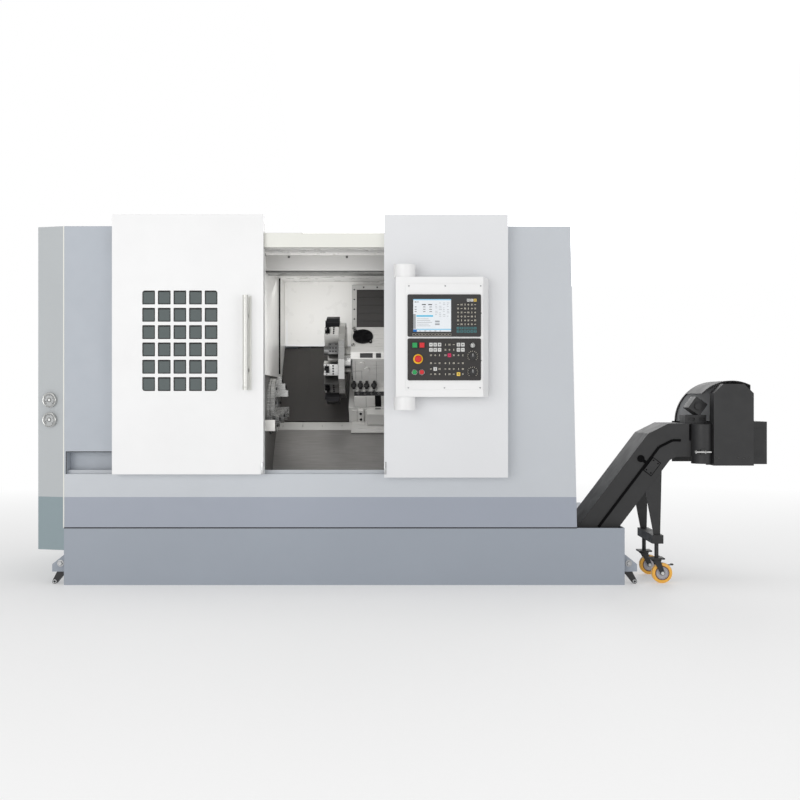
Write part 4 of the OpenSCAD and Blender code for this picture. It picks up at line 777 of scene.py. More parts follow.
def build_gaskets_and_shade():
    """A rubber gasket round the glass of each window cell, its top band wider than the rest as painted shade
    under the bar above.
    """
    glass = facing(middle_of("door_window"), FRONT)
    glass.translation.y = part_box("door_window")[0].y
    gaskets = Piece("window_gaskets_and_painted_shade").use("rubber")
    (wide, tall), (columns, lines), (thin, thick) = CELL, CELLS, GASKET_AND_SHADE
    for column in range(columns):
        for line in range(lines):
            x = (column - (columns - 1) / 2) * (wide + BAR[0])
            y = (line - (lines - 1) / 2) * (tall + BAR[1])
            cell = on(glass, x - wide / 2, y - tall / 2)
            gaskets.box(cell, (0, 0, 0), (wide, thin, PROUD))
            # The wider top band: painted shade under the bar.
            gaskets.box(cell, (0, tall - thick, 0), (wide, tall, PROUD))
            gaskets.box(cell, (0, thin, 0), (thin, tall - thick, PROUD))
            gaskets.box(cell, (wide - thin, thin, 0), (wide, tall - thick, PROUD))
    gaskets.build("door", "belt_rubber")


def build_door_trim(sizes):
    """Corner plate of the door, the caps and post feet of its handle, and a pale strip on the door beside
    the bar.
    """
    trim = Piece("door_trim").use("zinc_steel")
    face_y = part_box("fixed_front_panel")[0].y
    corner = on(front_of("door_panel"), size_of("door_panel").x - CORNER_PLATE[0], 0)
    corner.translation.y = face_y
    trim.box(corner, (0, 0, 0), CORNER_PLATE, PROUD / 2)
    low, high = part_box("door_handle")
    bar = middle_of("door_handle")
    radius = (high.x - low.x) / 2
    trim.use("handle_steel")
    for end, way in ((low.z, 1), (high.z, -1)):
        cap = facing((bar.x, low.y + radius, end), (0, 0, way), BACK)
        trim.turned(cap, [(radius + PROUD / 2, 0), (radius + PROUD / 2, sizes.handle_cap),
                          (radius, sizes.handle_cap + PROUD)])
    strip = facing((bar.x, face_y, low.z), FRONT)
    left, right = (radius * share for share in HANDLE_STRIP)
    trim.box(strip, (left, 0, 0), (right, high.z - low.z, 3 * PROUD), PROUD)
    for side in (-1, 1):
        foot = facing((bar.x, face_y, bar.z + side * sizes.handle_post / 2), FRONT)
        trim.ring(foot, radius / 2, radius, 0, 3 * PROUD, PROUD)
    trim.build("door", "bright_steel")


# Gauges

GAUGE_NORMAL = (-0.2577, -0.9662, 0)
GAUGE_FACE = 0.78
# The case as shares of its radius and its depth
GAUGE_CASE = (
    (0, 0), (0.97, 0), (0.97, 0.6), (1, 0.65), (1, 0.9), (0.95, 1), (0.86, 0.97), (0.84, GAUGE_FACE))
# The dial's plate, marks, needle and boss as shares of the radius
DIAL = {"plate": 0.85, "rim": 0.8, "short_mark": 0.64, "long_mark": 0.52,
        "needle": 0.66, "tail": 0.2, "boss": 0.28}
GAUGE_MARKS, MARKS_PER_LONG = 25, 6
NEEDLE_TURN = math.radians(200)


def build_gauges(sizes):
    """Two dial gauges on the slanting front of the left end cover."""
    low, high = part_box("pressure_gauges")
    radius, depth = sizes.gauge / 2, sizes.gauge_depth
    face = depth * GAUGE_FACE
    for name, z in (("upper_gauge", high.z - radius), ("lower_gauge", low.z + radius)):
        middle = Vector(((low.x + high.x) / 2, (low.y + high.y) / 2, z))
        place = facing(middle - Vector(GAUGE_NORMAL).normalized() * depth / 2, GAUGE_NORMAL)
        dial = Piece(name).use("polished_steel")
        dial.turned(place, [(radius * out, depth * up) for out, up in GAUGE_CASE], SMOOTH)
        dial.use("dial_face").rod(place, radius * DIAL["plate"], depth / 2, face)
        dial.use("dark_key")
        for k, turn in enumerate(dial_turns(GAUGE_MARKS)):
            inner = DIAL["short_mark" if k % MARKS_PER_LONG else "long_mark"]
            mark = on(place, 0, 0, face, turn)
            dial.box(mark, (radius * inner, -PROUD, 0), (radius * DIAL["rim"], PROUD, PROUD / 4))
        needle = on(place, 0, 0, face, NEEDLE_TURN)
        tail, tip = -radius * DIAL["tail"], radius * DIAL["needle"]
        dial.box(needle, (tail, -PROUD, PROUD), (tip, PROUD, 1.5 * PROUD))
        top = face + 2 * PROUD
        dial.rod(place, radius * DIAL["boss"], face, top, PROUD / 2)
        dial.use("gauge_glass").turned(place, [(-tail, top), (0, face + 2.4 * PROUD)])
        made = dial.build("root", "bright_steel")
        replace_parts(made, "pressure_gauges")


# Pendant

FACE_MARGIN, FACE_DEPTH, UNIT_GAP = mm(9, 5, 55)
# Screws, keys and their sizes in millimetres, right of and below the upper left corner of plate or unit
FACE_SCREWS = ((16, 11), (203, 11), (386, 11), (388, 152), (388, 396), (13, 536), (199, 536), (383, 536))
KEYPAD_COLUMNS = (260, 278, 296, 313, 331, 348)
KEYPAD_ROWS = (53, 73, 93, 114, 134, 154)
TEAL_ROWS = (174, 191)
FUNCTION_ROW = 30
FUNCTION_KEYS = ("white_key", "white_key", "yellow_key")
SOFT_KEYS = {"count": 12, "start": 33, "pitch": 16.8, "row": 207, "inlay": (12.5, 8), "corner": 1.2}
MODE_COLUMNS = (120.5, 142.3, 164.6, 194.9, 215.6, 237.9, 262.3, 284.6)
MODE_ROWS = (31.9, 58.4, 86.6, 127.4, 157.2, 183.7)
SPECIAL_KEYS = {(4, 2): "magenta_key", (1, 4): "white_key", (6, 5): "yellow_key"}
PALE_ROWS, DARK_COLUMNS = 2, (3, 4, 5)
KEYPAD_KEY, TEAL_KEY, FUNCTION_KEY, SOFT_KEY = (14.5, 16), (14.5, 13), (14.5, 14), (14.5, 10)
MODE_KEY = (18, 19)
KEY_CORNER, MARK_RISE, INLAY_RISE = mm(1.6, 0.15, 0.1)
# Left, lower, right and upper edge of the strokes of each mark, in millimetres
KEY_MARKS = (
    ((-4.5, -1.4, 4.5, 1.4),),
    ((-1.5, -5, 1.5, 5),),
    ((-4.5, 1.2, 4.5, 3.6), (-4.5, -3.6, 4.5, -1.2)),
    ((-4.2, -4.5, -1.4, 4.5), (1.4, -4.5, 4.2, 4.5)),
    ((-4.5, -1.4, 4.5, 1.4), (-1.4, -4.5, 1.4, 4.5)))


def key_cap(piece, place, x, y, size, rise, finish):
    """One membrane key with round corners."""
    spot = on(place, x * MM, -y * MM)
    piece.use(finish).slab(spot, rounded(*mm(*size), KEY_CORNER, 2), 0, rise, rise / 3)
    return on(spot, 0, 0, rise)


def key_mark(piece, top, index, finish):
    """A small plain mark on a key: one of a few strokes."""
    piece.use(finish)
    for x0, y0, x1, y1 in KEY_MARKS[index % len(KEY_MARKS)]:
        piece.box(top, (*mm(x0, y0), 0), (*mm(x1, y1), MARK_RISE))


def build_display_keys(rise):
    """Keys beside and below the screen."""
    place = top_left_of("display_unit")
    keys = Piece("display_keys")
    for line, y in enumerate(KEYPAD_ROWS):
        for column, x in enumerate(KEYPAD_COLUMNS):
            top = key_cap(keys, place, x, y, KEYPAD_KEY, rise, "dark_key")
            key_mark(keys, top, 2 * line + 3 * column, "legend")
    for line, y in enumerate(TEAL_ROWS):
        for column, x in enumerate(KEYPAD_COLUMNS):
            top = key_cap(keys, place, x, y, TEAL_KEY, rise, "teal_key")
            key_mark(keys, top, line + column, "dark_key")
    for x, finish in zip(KEYPAD_COLUMNS[-len(FUNCTION_KEYS):], FUNCTION_KEYS):
        top = key_cap(keys, place, x, FUNCTION_ROW, FUNCTION_KEY, rise, finish)
        key_mark(keys, top, x, "dark_key")
    inlay = rounded(*mm(*SOFT_KEYS["inlay"]), SOFT_KEYS["corner"] * MM, 2)
    for k in range(SOFT_KEYS["count"]):
        x = SOFT_KEYS["start"] + SOFT_KEYS["pitch"] * k
        top = key_cap(keys, place, x, SOFT_KEYS["row"], SOFT_KEY, rise, "legend")
        keys.use("dark_key").slab(top, inlay, 0, INLAY_RISE)
    keys.build("pendant", "black_plastic")


def build_mode_keys(rise):
    """Keys of the lower panel."""
    place = top_left_of("control_panel")
    keys = Piece("mode_keys")
    for line, y in enumerate(MODE_ROWS):
        for column, x in enumerate(MODE_COLUMNS):
            pale = line < PALE_ROWS and column not in DARK_COLUMNS
            finish = SPECIAL_KEYS.get((column, line), "white_key" if pale else "dark_key")
            top = key_cap(keys, place, x, y, MODE_KEY, rise, finish)
            key_mark(keys, top, line + 2 * column, "legend" if finish == "dark_key" else "dark_key")
    keys.build("pendant", "black_plastic")


# Finish, left, top, width and height of the fields of the screen, in millimetres
SCREEN_PAGE = ("screen_page", 3, 7, 195, 168)
SCREEN_FIELDS = (
    ("screen_pale_blue", 3, 7, 195, 6), ("screen_cyan", 19, 90, 86, 8), ("screen_grey", 3, 84, 13, 76),
    ("screen_ink", 10, 20, 10, 4), ("screen_ink", 24, 20, 6, 4), ("screen_ink", 48, 33, 20, 5),
    ("screen_ink", 80, 33, 20, 5), ("screen_pale_blue", 20, 160, 178, 7), ("screen_blue", 3, 163, 19, 12),
    ("screen_grey", 115, 118, 24, 9), ("screen_grey", 115, 132, 24, 9))
SCREEN_LAYER = 0.05 * MM
AXIS_COLUMNS = ((10, 10), (54, 12), (86, 13))


def screen_strokes():
    """Short strokes in rows that stand for the figures on the screen."""
    for line in range(3):
        for x, width in AXIS_COLUMNS:
            yield "screen_ink", x, 46 + 12 * line, width, 3
    for line in range(9):
        for column in range(4):
            if (line * 3 + column) % 4:
                yield "screen_grey", 116 + 20 * column, 26 + 8.5 * line, 8 + (line + 2 * column) % 7, 2
    for line in range(5):
        yield "screen_grey", 22, 108 + 9 * line, 60 + 9 * (line % 3), 2
    for column in range(5):
        yield "screen_ink", 34 + 26 * column, 170, 8 + 2 * (column % 2), 2.5


def build_screen():
    """A plain working page on the screen: bars and rows of short strokes."""
    place = top_left_of("display_screen")
    page = Piece("screen_page")

    def field(finish, x, y, width, height, layer):
        spot = on(place, x * MM, -(y + height) * MM)
        rise = SCREEN_LAYER * layer
        page.use(finish).box(spot, (0, 0, rise - SCREEN_LAYER), (*mm(width, height), rise))

    field(*SCREEN_PAGE, 1)
    for drawn in (*SCREEN_FIELDS, *screen_strokes()):
        field(*drawn, 2)
    page.build("pendant", "screen_glass")


BEZEL_GAP, SQUARE_BEZEL, ROUND_BEZEL, BEZEL_RISE = mm(0.6, 3, 3.5, 6)
STOP_RING = mm(12.5, 25, 0, 2)
KEY_RING = mm(13, 17, 0, 3)
OVERRIDE_KNOBS = ("spindle_override_knob", "feed_override_knob")
OVERRIDE_MARKS = 13
OVERRIDE_MARK = mm(22.5, -1.1, 0), mm(28, 1.1, 0.2)
POINTER = {"half": 1.4 * MM, "rise": 0.4 * MM, "start": 0.3, "end": 0.95}
POINTER_CAP, POINTER_CAP_SHARE = mm(0.6, 0.2), 0.22


def control_at(node):
    """The spot of a control on the front of the control panel."""
    spot = middle_of(node)
    return facing((spot.x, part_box("control_panel")[0].y, spot.z), FRONT)


def build_control_trim(head):
    """Screws, bezels and dial scales of the pendant."""
    trim = Piece("pendant_trim").use("zinc_steel")
    corner = on(top_left_of("control_panel"), -FACE_MARGIN,
                UNIT_GAP + size_of("display_unit").z + FACE_MARGIN)
    corner.translation.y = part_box("control_panel")[0].y + FACE_DEPTH
    for x, y in FACE_SCREWS:
        trim.socket_screw(on(corner, x * MM, -y * MM), head)
    trim.use("yellow_ring").ring(control_at("emergency_stop"), *STOP_RING, PROUD)
    trim.use("black_moulding")
    for node in ("power_on_button", "power_off_button"):
        half = size_of(node).x / 2
        inner, outer = half + BEZEL_GAP, half + SQUARE_BEZEL
        for quarter in range(4):
            side = on(control_at(node), 0, 0, 0, quarter * math.pi / 2)
            trim.box(side, (inner, -outer, 0), (outer, inner, BEZEL_RISE), PROUD / 2)
    trim.use("polished_steel")
    for node in ("cycle_start_button", "feed_hold_button"):
        radius = size_of(node).x / 2
        trim.ring(control_at(node), radius + BEZEL_GAP, radius + ROUND_BEZEL, 0, BEZEL_RISE, PROUD)
    trim.use("black_moulding").ring(control_at("key_switch"), *KEY_RING, PROUD)
    trim.use("legend")
    for node in OVERRIDE_KNOBS:
        for turn in dial_turns(OVERRIDE_MARKS):
            trim.box(on(control_at(node), 0, 0, 0, turn), *OVERRIDE_MARK)
    trim.build("pendant", "black_plastic")


def build_pointers():
    """A pointer and a cap on the front of each override knob."""
    half, rise = POINTER["half"], POINTER["rise"]
    for node in OVERRIDE_KNOBS:
        front = control_at(node)
        front.translation.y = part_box(node)[0].y
        radius = size_of(node).x / 3
        pointer = Piece(node + "_pointer").use("white_key")
        start, end = radius * POINTER["start"], radius * POINTER["end"]
        pointer.box(front, (-half, start, 0), (half, end, rise))
        pointer.use("zinc_steel").rod(front, radius * POINTER_CAP_SHARE, 0, *POINTER_CAP)
        pointer.build(node, "black_plastic")


# Work area

LAMP = {"back": 250 * MM, "depth": 150 * MM, "drop": 98 * MM, "bolts": mm(129, 452), "bolt_drop": 14 * MM}
LENS = {"lip": 3 * MM, "sunk": 7 * MM, "proud": 5 * MM}
SHADED_LIP = {"back": 925 * MM, "foot": 1150 * MM, "top_gap": 50 * MM, "width": 8 * MM, "rise": 9 * MM}
REAR_SHEET, REAR_EDGE = mm(3, 1338)
REAR_HIGHLIGHT = {"left": 6 * MM, "right": 20 * MM, "tall": 11 * MM}
CHUCK_LEDGE = {"back": 205 * MM, "foot": 818 * MM, "low": mm(0, 0, -8), "high": mm(56, 62, 0),
               "ease": 3 * MM}
SLOPE_NORMAL = (0, -0.746, 0.666)
SLOPE_LIP = 2.3 * MM
FLANGE = {"width": 60 * MM, "rise": 3 * MM, "margin": 40 * MM, "screws": 7}
LAMP_BOLT, FLANGE_SCREW = mm(8, 9)


def slope_edge(x):
    """The upper edge of the chip slope at X, facing off the slope."""
    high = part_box("lower_guard")[1]
    return facing((x, high.y - SLOPE_LIP, high.z), SLOPE_NORMAL)


def add_lamp(fittings):
    """Lens, shade and bolts of the lamp box. The lens covers the underside and its front edge in a mid-dark
    tone: painted shade of the underside.
    """
    low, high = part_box("rear_guard")
    width = high.x - low.x
    corner = (low.x, FRONT_Y + LAMP["back"], high.z - LAMP["drop"])
    under = facing(corner, (0, 0, -1), BACK)
    # The lens plate covers the whole underside and its front edge in a mid-dark tone: painted shade.
    fittings.use("lamp_lens_painted_shade").box(under, (PROUD - width, -LENS["lip"], -LENS["sunk"]),
                                  (-PROUD, LAMP["depth"], LENS["proud"]), PROUD)
    shade = facing(corner, FRONT)
    fittings.use("lamp_enamel").box(shade, (PROUD, PROUD, 0),
                                    (width - PROUD, LAMP["drop"] - PROUD, 2 * PROUD))
    fittings.use("dark_casting")
    for x in LAMP["bolts"]:
        fittings.hex_bolt(on(shade, x, LAMP["drop"] - LAMP["bolt_drop"], 2 * PROUD), LAMP_BOLT)


def add_wall_trim(fittings):
    """A dark lip on the left wall as painted shade, pale strips on the rear guard's edges as painted
    highlight, and the ledge under the chuck.
    """
    low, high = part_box("rear_guard")
    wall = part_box("headstock_guard")[1]
    shaded_lip = facing((wall.x, FRONT_Y + SHADED_LIP["back"], SHADED_LIP["foot"]), RIGHT)
    tall = wall.z - SHADED_LIP["foot"] - SHADED_LIP["top_gap"]
    # A flat black lip along the left wall's back edge: painted shade.
    fittings.use("flat_black_and_painted_shade").box(shaded_lip, (0, 0, 0), (SHADED_LIP["width"], tall, SHADED_LIP["rise"]))
    rear = facing((wall.x, high.y - REAR_SHEET, REAR_EDGE), FRONT)
    left, right = REAR_HIGHLIGHT["left"], REAR_HIGHLIGHT["right"]
    # Pale strips on the rear guard's left and lower edges: painted highlight.
    fittings.use("white_enamel")
    fittings.box(rear, (left, 0, 0), (right, high.z - REAR_EDGE - 3 * LAMP["drop"], PROUD))
    fittings.box(rear, (right, 0, 0), (high.x - low.x - right, REAR_HIGHLIGHT["tall"], PROUD))
    ledge = facing((wall.x, FRONT_Y + CHUCK_LEDGE["back"], CHUCK_LEDGE["foot"]), FRONT)
    fittings.use("guard_steel").box(ledge, CHUCK_LEDGE["low"], CHUCK_LEDGE["high"], CHUCK_LEDGE["ease"])


def add_slope_flange(fittings):
    """The bright flange along the upper edge of the chip slope, with its screws."""
    low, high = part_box("lower_guard")
    run = high.x - low.x
    flange = slope_edge(low.x)
    width, rise, margin = FLANGE["width"], FLANGE["rise"], FLANGE["margin"]
    fittings.use("guard_steel").box(flange, (0, -width, 0), (run, 0, rise), PROUD)
    fittings.use("zinc_steel")
    for spot in row((margin, -width / 2, rise), (run - margin, -width / 2, rise), FLANGE["screws"]):
        fittings.socket_screw(on(flange, *spot), FLANGE_SCREW)


def build_work_area():
    """Lamp fittings, wall trim and slope flange in one piece."""
    fittings = Piece("work_area_fittings")
    add_lamp(fittings)
    add_wall_trim(fittings)
    add_slope_flange(fittings)
    fittings.build("root", "stainless_sheet")


# Chuck

JAWS = 3
CHUCK_SCREW = mm(18, 5)
CHUCK_SCREW_TURNS = (128, 172)
CHUCK_SCREW_REACH = 0.78
CHUCK_RING = mm(38, 44, 0, 3)
CHUCK_BANDS = (0.3, 0.7)
BAND_RISE, BAND_WIDTH = mm(0.3, 2.5)
BAND_SIDES = 72
JAW_SCREW = mm(20, 6)
# Reach from the axis and drop behind the jaw's front of each step
JAW_STEPS = (mm(109, 15), mm(147, 36))


def build_chuck():
    """Face screws, ring and bands of the chuck, and two screws in each jaw."""
    face = facing((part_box("chuck_body")[1].x, AXIS.y, AXIS.z), RIGHT)
    size = size_of("chuck_body")
    radius = size.z / 2
    trim = Piece("chuck_trim").use("black_oxide")
    for k in range(JAWS):
        for turn in CHUCK_SCREW_TURNS:
            spot = on(face, 0, 0, 0, math.radians(360 / JAWS * k + turn))
            trim.socket_screw(on(spot, radius * CHUCK_SCREW_REACH, 0), *CHUCK_SCREW)
    trim.use("zinc_steel").ring(face, *CHUCK_RING, PROUD)
    trim.use("black_oxide")
    for share in CHUCK_BANDS:
        band = on(face, 0, 0, -share * size.x)
        trim.ring(band, radius - PROUD, radius + BAND_RISE, 0, BAND_WIDTH, 0, BAND_SIDES)
    trim.build("spindle", "bright_steel")
    for k in range(JAWS):
        body = f"chuck_jaw_{k + 1}"
        screws = Piece(f"jaw_{k + 1}_screws").use("black_oxide")
        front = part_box(body)[1].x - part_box("chuck_body")[1].x
        spoke = on(face, 0, 0, 0, math.radians(360 / JAWS * k))
        for reach, drop in JAW_STEPS:
            screws.socket_screw(on(spoke, 0, reach, front - drop), *JAW_SCREW)
        screws.build(body, "bright_steel")


# Turret

STATIONS = 12
BLOCKS = (4, 11)
HOLDER_FINISHES = ("slide_steel", "holder_steel", "light_steel", "holder_steel")
HOLDER = {"half": 34 * MM, "foot": 150 * MM, "top": 240 * MM, "tip": 262 * MM, "ease": 1.5 * MM}
TURNING = {"run": 35 * MM, "floor": 206 * MM, "cheek": 13 * MM, "shank": 25 * MM, "step": 4 * MM,
           "wedge_drop": 8 * MM, "screws": 4, "spread": 0.7, "screw": 10 * MM, "cheek_screw": 7 * MM}
INSERT = mm(9, 13)
BORING = {"lip": 2 * MM, "screw": 9 * MM, "rows": (0.45, 0.65, 0.85), "lines": (-0.5, 0.1),
          "side_screw": 8 * MM, "side_rows": (0.45, 0.85), "side": 0.75}
BLOCK = {"nose": 8 * MM, "ease": 3 * MM, "nose_drop": 18 * MM, "groove": 2 * MM, "depth": 0.3 * MM,
         "levels": (0.55, 0.8)}
DISC_HUB = {"radius": 90 * MM, "rise": 8 * MM, "ease": 2 * MM, "screws": 6, "reach": 72 * MM,
            "screw": 12 * MM}


def station(k, x):
    """The place of a turret station: X along the machine, Y along the rim and Z outwards."""
    low, high = slope_box("turret_disc")
    turn = 2 * math.pi * k / STATIONS
    along = UP_SLOPE * math.cos(turn) + OFF_SLOPE * math.sin(turn)
    out = OFF_SLOPE * math.cos(turn) - UP_SLOPE * math.sin(turn)
    place = Matrix((Vector(RIGHT), along, out)).transposed().to_4x4()
    place.translation = on_slope(x, (low.y + high.y) / 2, 0)
    return place


def turning_holder(piece, place, run, finish):
    """A clamping holder with a square shank and a cutting insert in its open pocket."""
    half, foot, top, tip = HOLDER["half"], HOLDER["foot"], HOLDER["top"], HOLDER["tip"]
    pocket, floor, cheek, step = TURNING["run"], TURNING["floor"], TURNING["cheek"], TURNING["step"]
    piece.use(finish).box(place, (pocket, -half, foot), (run, half, top), HOLDER["ease"])
    for side in (-1, 1):
        inner, outer = sorted((side * (half - cheek), side * half))
        piece.box(place, (0, inner, foot), (pocket, outer, top - step), PROUD)
    piece.box(place, (0, cheek - half, foot), (pocket, half - cheek, floor), PROUD)
    left, thick = (pocket - TURNING["shank"]) / 2, TURNING["shank"] / 2
    right = left + TURNING["shank"]
    piece.use("black_oxide").box(place, (left, -thick, floor), (right, thick, tip - step), PROUD)
    piece.box(place, (left, thick, floor), (right, half - cheek, top - TURNING["wedge_drop"]), PROUD)
    insert_run, insert_tall = INSERT
    piece.use("light_steel").box(place, (left - PROUD, -thick, tip - insert_tall),
                                 (left + insert_run, 0, tip), PROUD / 2)
    piece.use("black_oxide")
    spread = TURNING["spread"] * half
    for spot in row((0, -spread, 0), (0, spread, 0), TURNING["screws"]):
        piece.socket_screw(on(place, (pocket + run) / 2 - step, spot.y, top), TURNING["screw"])
    for side in (-1, 1):
        spot = on(place, pocket / 2, side * (half - cheek / 2), top - step)
        piece.socket_screw(spot, TURNING["cheek_screw"])


def boring_holder(piece, place, run, finish):
    """A holder with a round socket along the machine, clamped by rows of screws."""
    half, foot, top = HOLDER["half"], HOLDER["foot"], HOLDER["top"]
    bore, rim, collar = half / 2, half * 0.87, run / 3
    piece.use(finish).box(place, (collar, -half, foot), (run, half, top), HOLDER["ease"])
    socket = on(place, 0, 0, (foot + top) / 2) @ Matrix.Rotation(math.pi / 2, 4, "Y")
    piece.turned(socket, [(bore, run / 2), (bore, 0), (half * 0.8, 0), (rim, BORING["lip"]),
                          (rim, collar)], 40)
    # A dark plug in the bore: painted shade inside the socket.
    piece.use("rubber").rod(socket, bore, collar, run / 2)
    piece.use("black_oxide")
    for x in BORING["rows"]:
        for y in BORING["lines"]:
            piece.socket_screw(on(place, run * x, half * y, top), BORING["screw"])
    for x in BORING["side_rows"]:
        piece.socket_screw(on(place, run * x, half * BORING["side"], top), BORING["side_screw"])


def block_holder(piece, place, run):
    """A tall black block with two dark bands across it: painted shade for its grooves."""
    half, foot, top = HOLDER["half"], HOLDER["foot"], HOLDER["tip"]
    nose, groove, depth = BLOCK["nose"], BLOCK["groove"], BLOCK["depth"]
    piece.use("black_oxide").box(place, (nose, -half, foot), (run, half, top), BLOCK["ease"])
    piece.box(place, (0, -half / 2, foot), (nose, half / 2, top - BLOCK["nose_drop"]), PROUD)
    piece.use("rubber")
    for level in BLOCK["levels"]:
        z = foot + level * (top - foot)
        piece.box(place, (nose + groove, -half - depth, z - groove),
                  (run - groove, half + depth, z + groove))


def build_holders():
    """Twelve tool holders of three kinds."""
    low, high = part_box("tool_holders")
    run = high.x - low.x
    for k in range(STATIONS):
        piece = Piece(f"tool_holder_{k + 1:02d}")
        place = station(k, low.x)
        finish = HOLDER_FINISHES[k % len(HOLDER_FINISHES)]
        if k in BLOCKS:
            block_holder(piece, place, run)
        elif k % 3 == 1:
            boring_holder(piece, place, run, finish)
        else:
            turning_holder(piece, place, run, finish)
        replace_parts(piece.build("turret", "dark_steel"), "tool_holders")


def build_turret_hub():
    """The round cover in the middle of the disc, with its screws."""
    low, high = slope_box("turret_disc")
    hub = facing(on_slope(low.x, (low.y + high.y) / 2, 0), (-1, 0, 0))
    screws = Piece("turret_screws").use("zinc_steel")
    screws.rod(hub, DISC_HUB["radius"], 0, DISC_HUB["rise"], DISC_HUB["ease"], SMOOTH)
    for k in range(DISC_HUB["screws"]):
        spoke = on(hub, 0, 0, DISC_HUB["rise"], 2 * math.pi * k / DISC_HUB["screws"])
        screws.socket_screw(on(spoke, DISC_HUB["reach"], 0), DISC_HUB["screw"])
    screws.build("turret", "bright_steel")


# Turret housing

GRILLE = {"at": mm(69, 161), "radius": 59 * MM, "rise": 8 * MM, "rings": 7, "bars": 4,
          "bar": 2 * MM, "bar_rise": 3 * MM, "bar_reach": 0.9}
GRILLE_LUG = {"turns": (135, 315), "size": mm(34, 20, 9), "screw_at": 8 * MM, "screw": 9 * MM}
BOSS_RISE, NOSE = mm(10, 29)
HOUSING_SCREWS = (mm(16, 236), mm(15, 88), mm(300, 236), mm(300, 60))
HOUSING_SCREW = mm(24, 9)
RECESSES = (mm(55, 130), mm(149, 179))
RECESS_HALF, RECESS_BACK, RECESS_FRONT = mm(13, -11.5, -9)
GROOVES = (mm(26, 60, 27.5, 205), mm(26, 128, 62, 129.5), mm(62, 60, 63.5, 129.5), mm(150, 20, 151.5, 205))
GROOVE_RISE = 0.3 * MM
APRON_EDGE = mm(9, 2)
ELBOWS = mm(14, 53, 91, 135)
ELBOW = {"back": 32 * MM, "stem": 26 * MM, "bend": 14 * MM, "radius": 9 * MM}
ELBOW_CAP, ELBOW_NUT = mm(17, 28, 9), mm(14, 14)


def add_grille(trim, cap):
    """A round grille with rings, bars and two lugs."""
    radius, rise, bar = GRILLE["radius"], GRILLE["rise"], GRILLE["bar"]
    trim.use("black_oxide").rod(cap, radius + PROUD, -rise, PROUD, PROUD, SMOOTH)
    for k in range(2, GRILLE["rings"]):
        middle = radius * k / GRILLE["rings"]
        trim.ring(cap, middle - bar, middle + bar, PROUD, GRILLE["bar_rise"], PROUD / 2, SMOOTH)
    reach = radius * GRILLE["bar_reach"]
    for k in range(GRILLE["bars"]):
        spoke = on(cap, 0, 0, PROUD, k * math.pi / GRILLE["bars"])
        trim.box(spoke, (-reach, -bar, 0), (reach, bar, GRILLE["bar_rise"]))
    for turn in GRILLE_LUG["turns"]:
        lug = on(on(cap, 0, 0, 0, math.radians(turn)), radius, 0)
        trim.use("black_oxide").slab(lug, rounded(*GRILLE_LUG["size"]), -rise, PROUD, PROUD / 2)
        trim.use("zinc_steel").socket_screw(on(lug, GRILLE_LUG["screw_at"], 0, PROUD), GRILLE_LUG["screw"])


def build_housing():
    """Grille and bolts of the turret housing, with dark slabs in its recesses and dark lines for its grooves
    as painted shade.
    """
    low, high = slope_box("turret_housing")
    left, front, top = low.x, low.y + BOSS_RISE, high.z - GRILLE["rise"]
    trim = Piece("housing_trim")
    add_grille(trim, on(facing(on_slope(left, front, high.z), OFF_SLOPE), *GRILLE["at"]))
    face = facing(on_slope(left, front, top), OFF_SLOPE)
    trim.use("polished_steel")
    for spot in HOUSING_SCREWS:
        trim.socket_screw(on(face, *spot), *HOUSING_SCREW)
    nose = facing(on_slope(left, front + NOSE / 2, top - NOSE / 2), FRONT)
    # Dark slabs at the bottom of the recesses and dark lines for the grooves: painted shade.
    trim.use("dark_coat_and_painted_shade")
    for start, end in RECESSES:
        trim.box(nose, (start, -RECESS_HALF, RECESS_BACK), (end, RECESS_HALF, RECESS_FRONT))
    apron = facing(on_slope(left, front, low.z), -UP_SLOPE)
    tall = top - NOSE - low.z
    for x0, y0, x1, y1 in GROOVES:
        trim.box(apron, (x0, y0, 0), (x1, min(y1, tall), GROOVE_RISE))
    edge, rise = APRON_EDGE
    trim.use("zinc_steel").box(apron, (0, 0, 0), (edge, tall, rise), PROUD / 2)
    trim.build("cross_slide", "stainless_sheet")


def build_elbows():
    """Coolant elbows that rise from the cross slide and turn into the turret housing."""
    low = slope_box("turret_housing")[0]
    left, front = low.x, low.y + BOSS_RISE
    slide_top = slope_box("cross_slide")[1].z
    back, stem, bend = ELBOW["back"], ELBOW["stem"], ELBOW["bend"]
    hoses = Piece("coolant_elbows")
    for x in ELBOWS:
        path = [on_slope(left + x, front - back, slide_top + rise) for rise in (0, bend, stem)]
        for turn in (30, 60, 90):
            angle = math.radians(turn)
            path.append(on_slope(left + x, front - back + bend * (1 - math.cos(angle)),
                                 slide_top + stem + bend * math.sin(angle)))
        path.append(on_slope(left + x, front, slide_top + stem + bend))
        hoses.use("rubber").tube(path, ELBOW["radius"])
        base = facing(path[0], OFF_SLOPE)
        radius, tall, ease = ELBOW_CAP
        hoses.rod(on(base, 0, 0, stem), radius, 0, tall, ease)
        radius, tall = ELBOW_NUT
        hoses.use("light_steel").rod(base, radius, 0, tall, PROUD, HEXAGON)
    hoses.build("cross_slide", "black_plastic")


# Slides

LEDGE = {"depth": 34 * MM, "rise": 2 * MM, "nuts": 8, "start": 24 * MM, "end": 30 * MM, "nut": 11 * MM}
PLATE_EASE = 1.5 * MM
